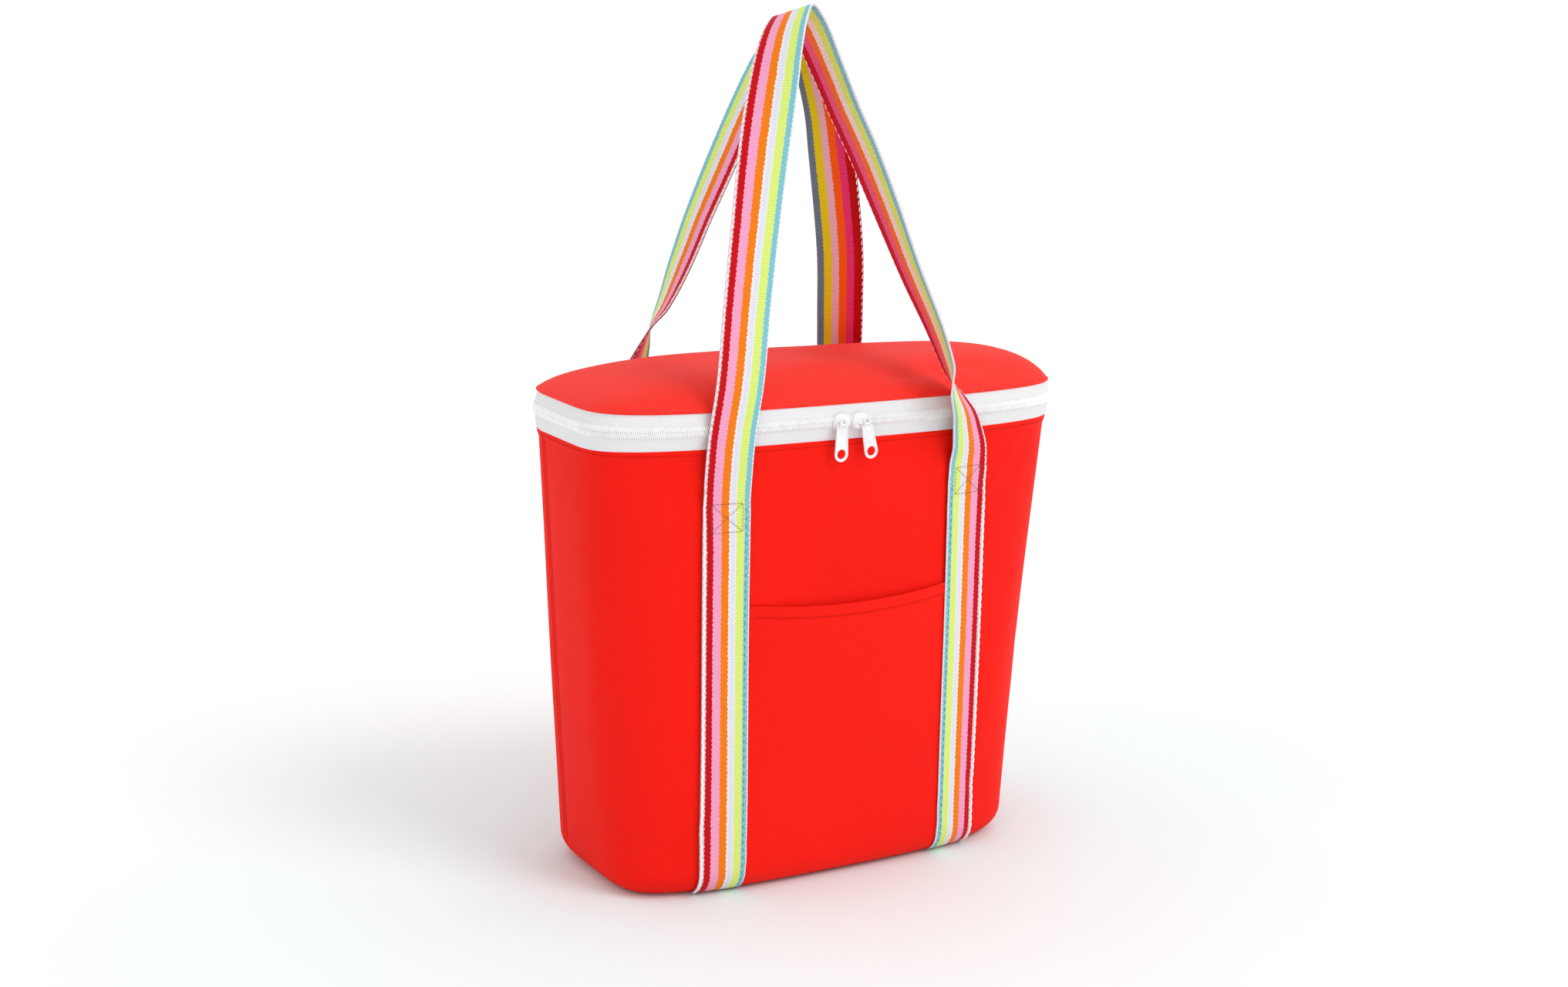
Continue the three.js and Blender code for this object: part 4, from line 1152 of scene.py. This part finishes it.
def pull_outline(grow, count=20):
    """Outline of the pull in its own plane, inset by grow: narrow at its neck, round at its end."""
    half, neck, length = PULL_HALF[0] - grow, PULL_HALF[1] - grow, PULL_LENGTH - grow
    turn = np.linspace(0, math.pi, count)
    end = np.stack([half * np.cos(turn), -(length - half) - half * np.sin(turn)], 1)
    up = np.linspace(0, 1, 7)[1:]
    left = np.stack([-half + (half - neck) * up, -(length - half) * (1 - up) + (1.0 - grow) * up], 1)
    right = np.stack([neck + (half - neck) * up, (1.0 - grow) * (1 - up) - (length - half) * up], 1)[:-1]
    return np.concatenate([end, left, right])


def pull(name, pivot, lean, node):
    """Zip pull: a flat tongue with a raised rim, a hole with a rim of its own and a bail over the bar."""
    hole = np.array([0, -(PULL_LENGTH - PULL_HOLE)])
    outer = pull_outline(0)
    spread = np.unwrap(np.arctan2(*(outer - hole).T[::-1]))
    whole = 2 * math.pi * np.sign(spread[-1] - spread[0])
    even = np.linspace(spread[0], spread[0] + whole, len(outer), endpoint=False)
    around = lambda radius: hole + radius * np.stack([np.cos(even), np.sin(even)], 1)
    levels = [(outer, 0.35), (outer, 1.15), (pull_outline(0.35), 1.5), (pull_outline(1.0), 1.5),
              (pull_outline(1.5), 1.05), (around(4.7), 1.05), (around(4.4), 1.4), (around(3.9), 1.4),
              (around(3.65), 1.1), (around(3.65), 0.35), (around(4.0), 0.0), (pull_outline(0.4), 0.0)]
    rings = [xyz(p[:, 0], 0.75 - h, p[:, 1]) for p, h in levels]
    spin = np.array([[math.cos(lean), 0, -math.sin(lean)], [0, 1, 0], [math.sin(lean), 0, math.cos(lean)]])
    place = lambda p: p @ spin.T + np.array(pivot)
    shape = Shape()
    index = shape.add(np.stack([place(ring) for ring in rings]))
    shape.grid(np.concatenate([index, index[:1]]), flat_map(np.stack(rings + rings[:1]), (0, 2)), True)
    turn = np.linspace(0, 2 * math.pi, 17)
    for side in (-1, 1):
        loop = xyz(side * 2.2, 1.75 * np.cos(turn), 1.75 * np.sin(turn))
        tubes(shape, place(loop), (1.0, 0, 0), 0.8, 8)
    knuckle = xyz(np.linspace(-3.3, 3.3, 7), -1.6, -0.4)
    tubes(shape, place(knuckle), FORWARD, 0.95 * np.array([0.6, 1, 1, 1, 1, 1, 0.6]), 10)
    shape.piece(name, [LACQUER], node, "slider_metal", [node], 40)


for word, shift, tilt in (("left", -1.0, 0.0), ("right", 4.2, 13.0)):
    node = f"slider_{word}"
    x = 0.5 * (low(node)[0] + high(node)[0])
    slider(f"zip_slider_{word}", x, high(node)[1] - 0.2, node)
    pivot = (x + shift, low(node)[1] + BAR[0], PARTING - BAR[1])
    pull(f"zip_pull_{word}", pivot, math.radians(tilt), f"pull_{word}")

# ---------------------------------------------------------------- inside: foil lining and bindings


def lining():
    """Foil tub: walls with a welded corner all round its floor, creased by use."""
    shares = np.linspace(0, 1, 200, endpoint=False)
    heights = np.concatenate([[9.4, 9.8, 11.5, 15.0, 20.0], np.linspace(27, BODY_TOP - 0.6, 60)])
    insets = LINER_INSET + np.concatenate([[9.0, 5.0, 2.2, 0.6, 0.1], np.zeros(60)])
    rows, outs = [], []
    for z, inset in zip(heights, insets):
        points, normal = wall_points(shares, z, inset)
        crease = 0.7 * ripple(points, (0.03, 0.03, 0.016), 3.0) * (1 - smooth(z, 330, BODY_TOP - 4))
        rows.append(points - normal * (0.7 + crease)[:, None])
        outs.append(normal)
    floor = shrunk(rows[0], (0.9, 0.7, 0.5, 0.3, 0.1, 0.01))[::-1]
    for ring in floor:
        ring[:, 2] += 0.5 + 0.6 * ripple(ring, (0.02, 0.02, 0), 9.0)
    inner = np.stack(floor + rows)
    walls = [row + out * LINER for row, out in zip(rows, outs)]
    outer = np.stack([ring - [0, 0, LINER] for ring in floor] + walls)
    outer[6:9, :, 2] -= 0.4
    shape = Shape()
    share, level = np.meshgrid(np.append(shares, 1.0), np.arange(len(inner)) * 5.0)
    for skin in layered(shape, inner, outer, cloth_map(share, level), True):
        shape.face(skin[:1])
    shape.piece("foil_lining", [FOIL], "bag", "foil_liner", ["liner_front", "liner_back", "liner_base"])


lining()


def binding(name, profile, size, body, replaced=(), turned=True):
    """A folded tape that runs all round: profile is a closed list of height and inset."""
    shares = np.linspace(0, 1, 220, endpoint=False)
    shape = Shape()
    index = shape.add(np.stack([wall_points(shares, z, inset, size, turned)[0] for z, inset in profile]))
    u, v = np.meshgrid(np.linspace(0, 1, 221) * PERIMETER * MM, np.arange(len(profile) + 1) * 0.003)
    shape.grid(np.concatenate([index, index[:1]]), np.stack([u, v], -1), True)
    shape.piece(name, [RED_TRIM], body, "binding", replaced)


def folded(top, drop, outer_inset, inner_inset, thickness=1.1):
    """Profile of a tape folded over an edge, as height and inset."""
    turn = np.linspace(0, math.pi, 7)
    middle, radius = 0.5 * (outer_inset + inner_inset), 0.5 * (inner_inset - outer_inset)
    arch = lambda r: [(top - radius + r * math.sin(a), middle - r * math.cos(a)) for a in turn]
    outside, inside = arch(radius + thickness / 2), arch(radius - thickness / 2)
    return ([(top - drop * 0.35, outside[0][1])] + outside + [(top - drop, outside[-1][1]),
            (top - drop, inside[-1][1])] + inside[::-1] + [(top - drop * 0.35, inside[0][1])])


binding("rim_tape", folded(BODY_TOP - 0.2, 13.0, 2.0, LINER_INSET + LINER + 1.4), body_size, "bag",
        ["rim_binding"])


def lid_lining():
    """Foil under the lid."""
    lower = LID_FACE[8::2] * [0.985, 0.975, 1]
    lower[..., 2] = np.maximum(lower[..., 2] - (FOAM + FABRIC + 1.1), LID_EDGE - 2.2)
    lower[..., 2] -= 0.5 + 0.5 * ripple(lower, (0.03, 0.04, 0), 1.7)
    shape = Shape()
    for skin in layered(shape, lower, lower + [0, 0, LINER], flat_map(lower), True):
        shape.face(skin[-1:])
    shape.piece("lid_lining_foil", [FOIL], "lid", "foil_liner", ["lid_liner"])


lid_lining()
LID_TAPE = [(1.2, 2.4), (3.0, 3.0), (4.0, 5.5), (4.2, 9.0), (3.4, 13.0), (2.2, 14.0), (1.6, 13.0), (1.4, 8.0)]
binding("lid_rim_tape", [(LID_EDGE - below, inset) for below, inset in LID_TAPE], lambda z: LID_HALF, "lid",
        turned=False)


def side_tape(name, sign, node):
    """Tape over the lining's side seam."""
    y, z = np.meshgrid(np.linspace(-5, 5, 9), np.linspace(22, BODY_TOP - 14, 60))
    x = lambda lift: sign * (body_size(z)[0] - LINER_INSET - LINER - 0.9 - lift)
    outer = xyz(x(0.3 + 1.0 * (1 - (y / 5) ** 4)), y, z)
    layered_piece(name, outer, xyz(x(0), y, z), np.stack([y * MM, z * MM], -1), [RED_TRIM], "bag", "binding",
                  [node])


side_tape("side_tape_left", -1, "side_binding_left")
side_tape("side_tape_right", 1, "side_binding_right")

# ---------------------------------------------------------------- floor, light and camera


def floor():
    mesh = bpy.data.meshes.new("floor")
    corners = [(x * FLOOR_HALF, y * FLOOR_HALF, -0.0002) for x, y in ((-1, -1), (1, -1), (1, 1), (-1, 1))]
    mesh.from_pydata(corners, [], [(0, 1, 2, 3)])
    f = Finish("pale floor with painted shadow")
    where = f.node("ShaderNodeSeparateXYZ", [(0, f.place())]).outputs
    shares = [f.math("DIVIDE", f.math("ABSOLUTE", where[k]), BASE_HALF[k] * MM) for k in (0, 1)]
    away = f.math("SQRT", f.math("ADD", *(f.math("POWER", share, 2.0) for share in shares)))
    spread = f.scaled(f.noise(f.place(), 3.0), 0.04, f.math("MULTIPLY", away, 0.1))
    # Near the bag the floor's colour is darker and bluer: a painted shadow round the base, which also offsets
    # the red light that the bag throws on it. Far off it is an even pale white.
    colour = f.ramp(spread, [(0.1, (0.77, 0.88, 0.885, 1)), (0.2, (0.84, 0.925, 0.93, 1)),
                             (0.5, (0.945, 0.955, 0.957, 1))])
    mesh.materials.append(f.done(colour, 0.8, specular=0.0))
    linked("floor", mesh)


def studio():
    """White surroundings and one soft light from the right and above."""
    world = bpy.data.worlds.new("studio")
    bpy.context.scene.world = world
    world.use_nodes = True
    background = world.node_tree.nodes["Background"]
    background.inputs[0].default_value = (1, 1, 1, 1)
    background.inputs[1].default_value = 0.92
    data = bpy.data.lights.new("key", "SUN")
    data.energy = 0.85
    data.angle = math.radians(30)
    linked("key", data).rotation_euler = Vector((0.42, -0.76, 0.9)).to_track_quat("Z", "Y").to_euler()


CAMERA = Vector((-0.9384, -1.5295, 0.6979))
# Degrees from +Y towards +X, below the horizon, and about the view.
HEADING, DIP, ROLL = 31.22, 12.83, 1.93
LENS = 53.38


def camera():
    heading, dip, roll = (math.radians(a) for a in (HEADING, DIP, ROLL))
    look = Vector((math.sin(heading) * math.cos(dip), math.cos(heading) * math.cos(dip), -math.sin(dip)))
    level = Vector((math.cos(heading), -math.sin(heading), 0))
    up = level.cross(look)
    right = level * math.cos(roll) + up * math.sin(roll)
    top = up * math.cos(roll) - level * math.sin(roll)
    data = bpy.data.cameras.new("camera")
    data.lens = LENS
    data.sensor_width = 36
    made = linked("camera", data)
    made.matrix_world = Matrix.Translation(CAMERA) @ Matrix((right, top, -look)).transposed().to_4x4()
    bpy.context.scene.camera = made


floor()
studio()
camera()
bpy.context.scene.view_settings.view_transform = "Standard"
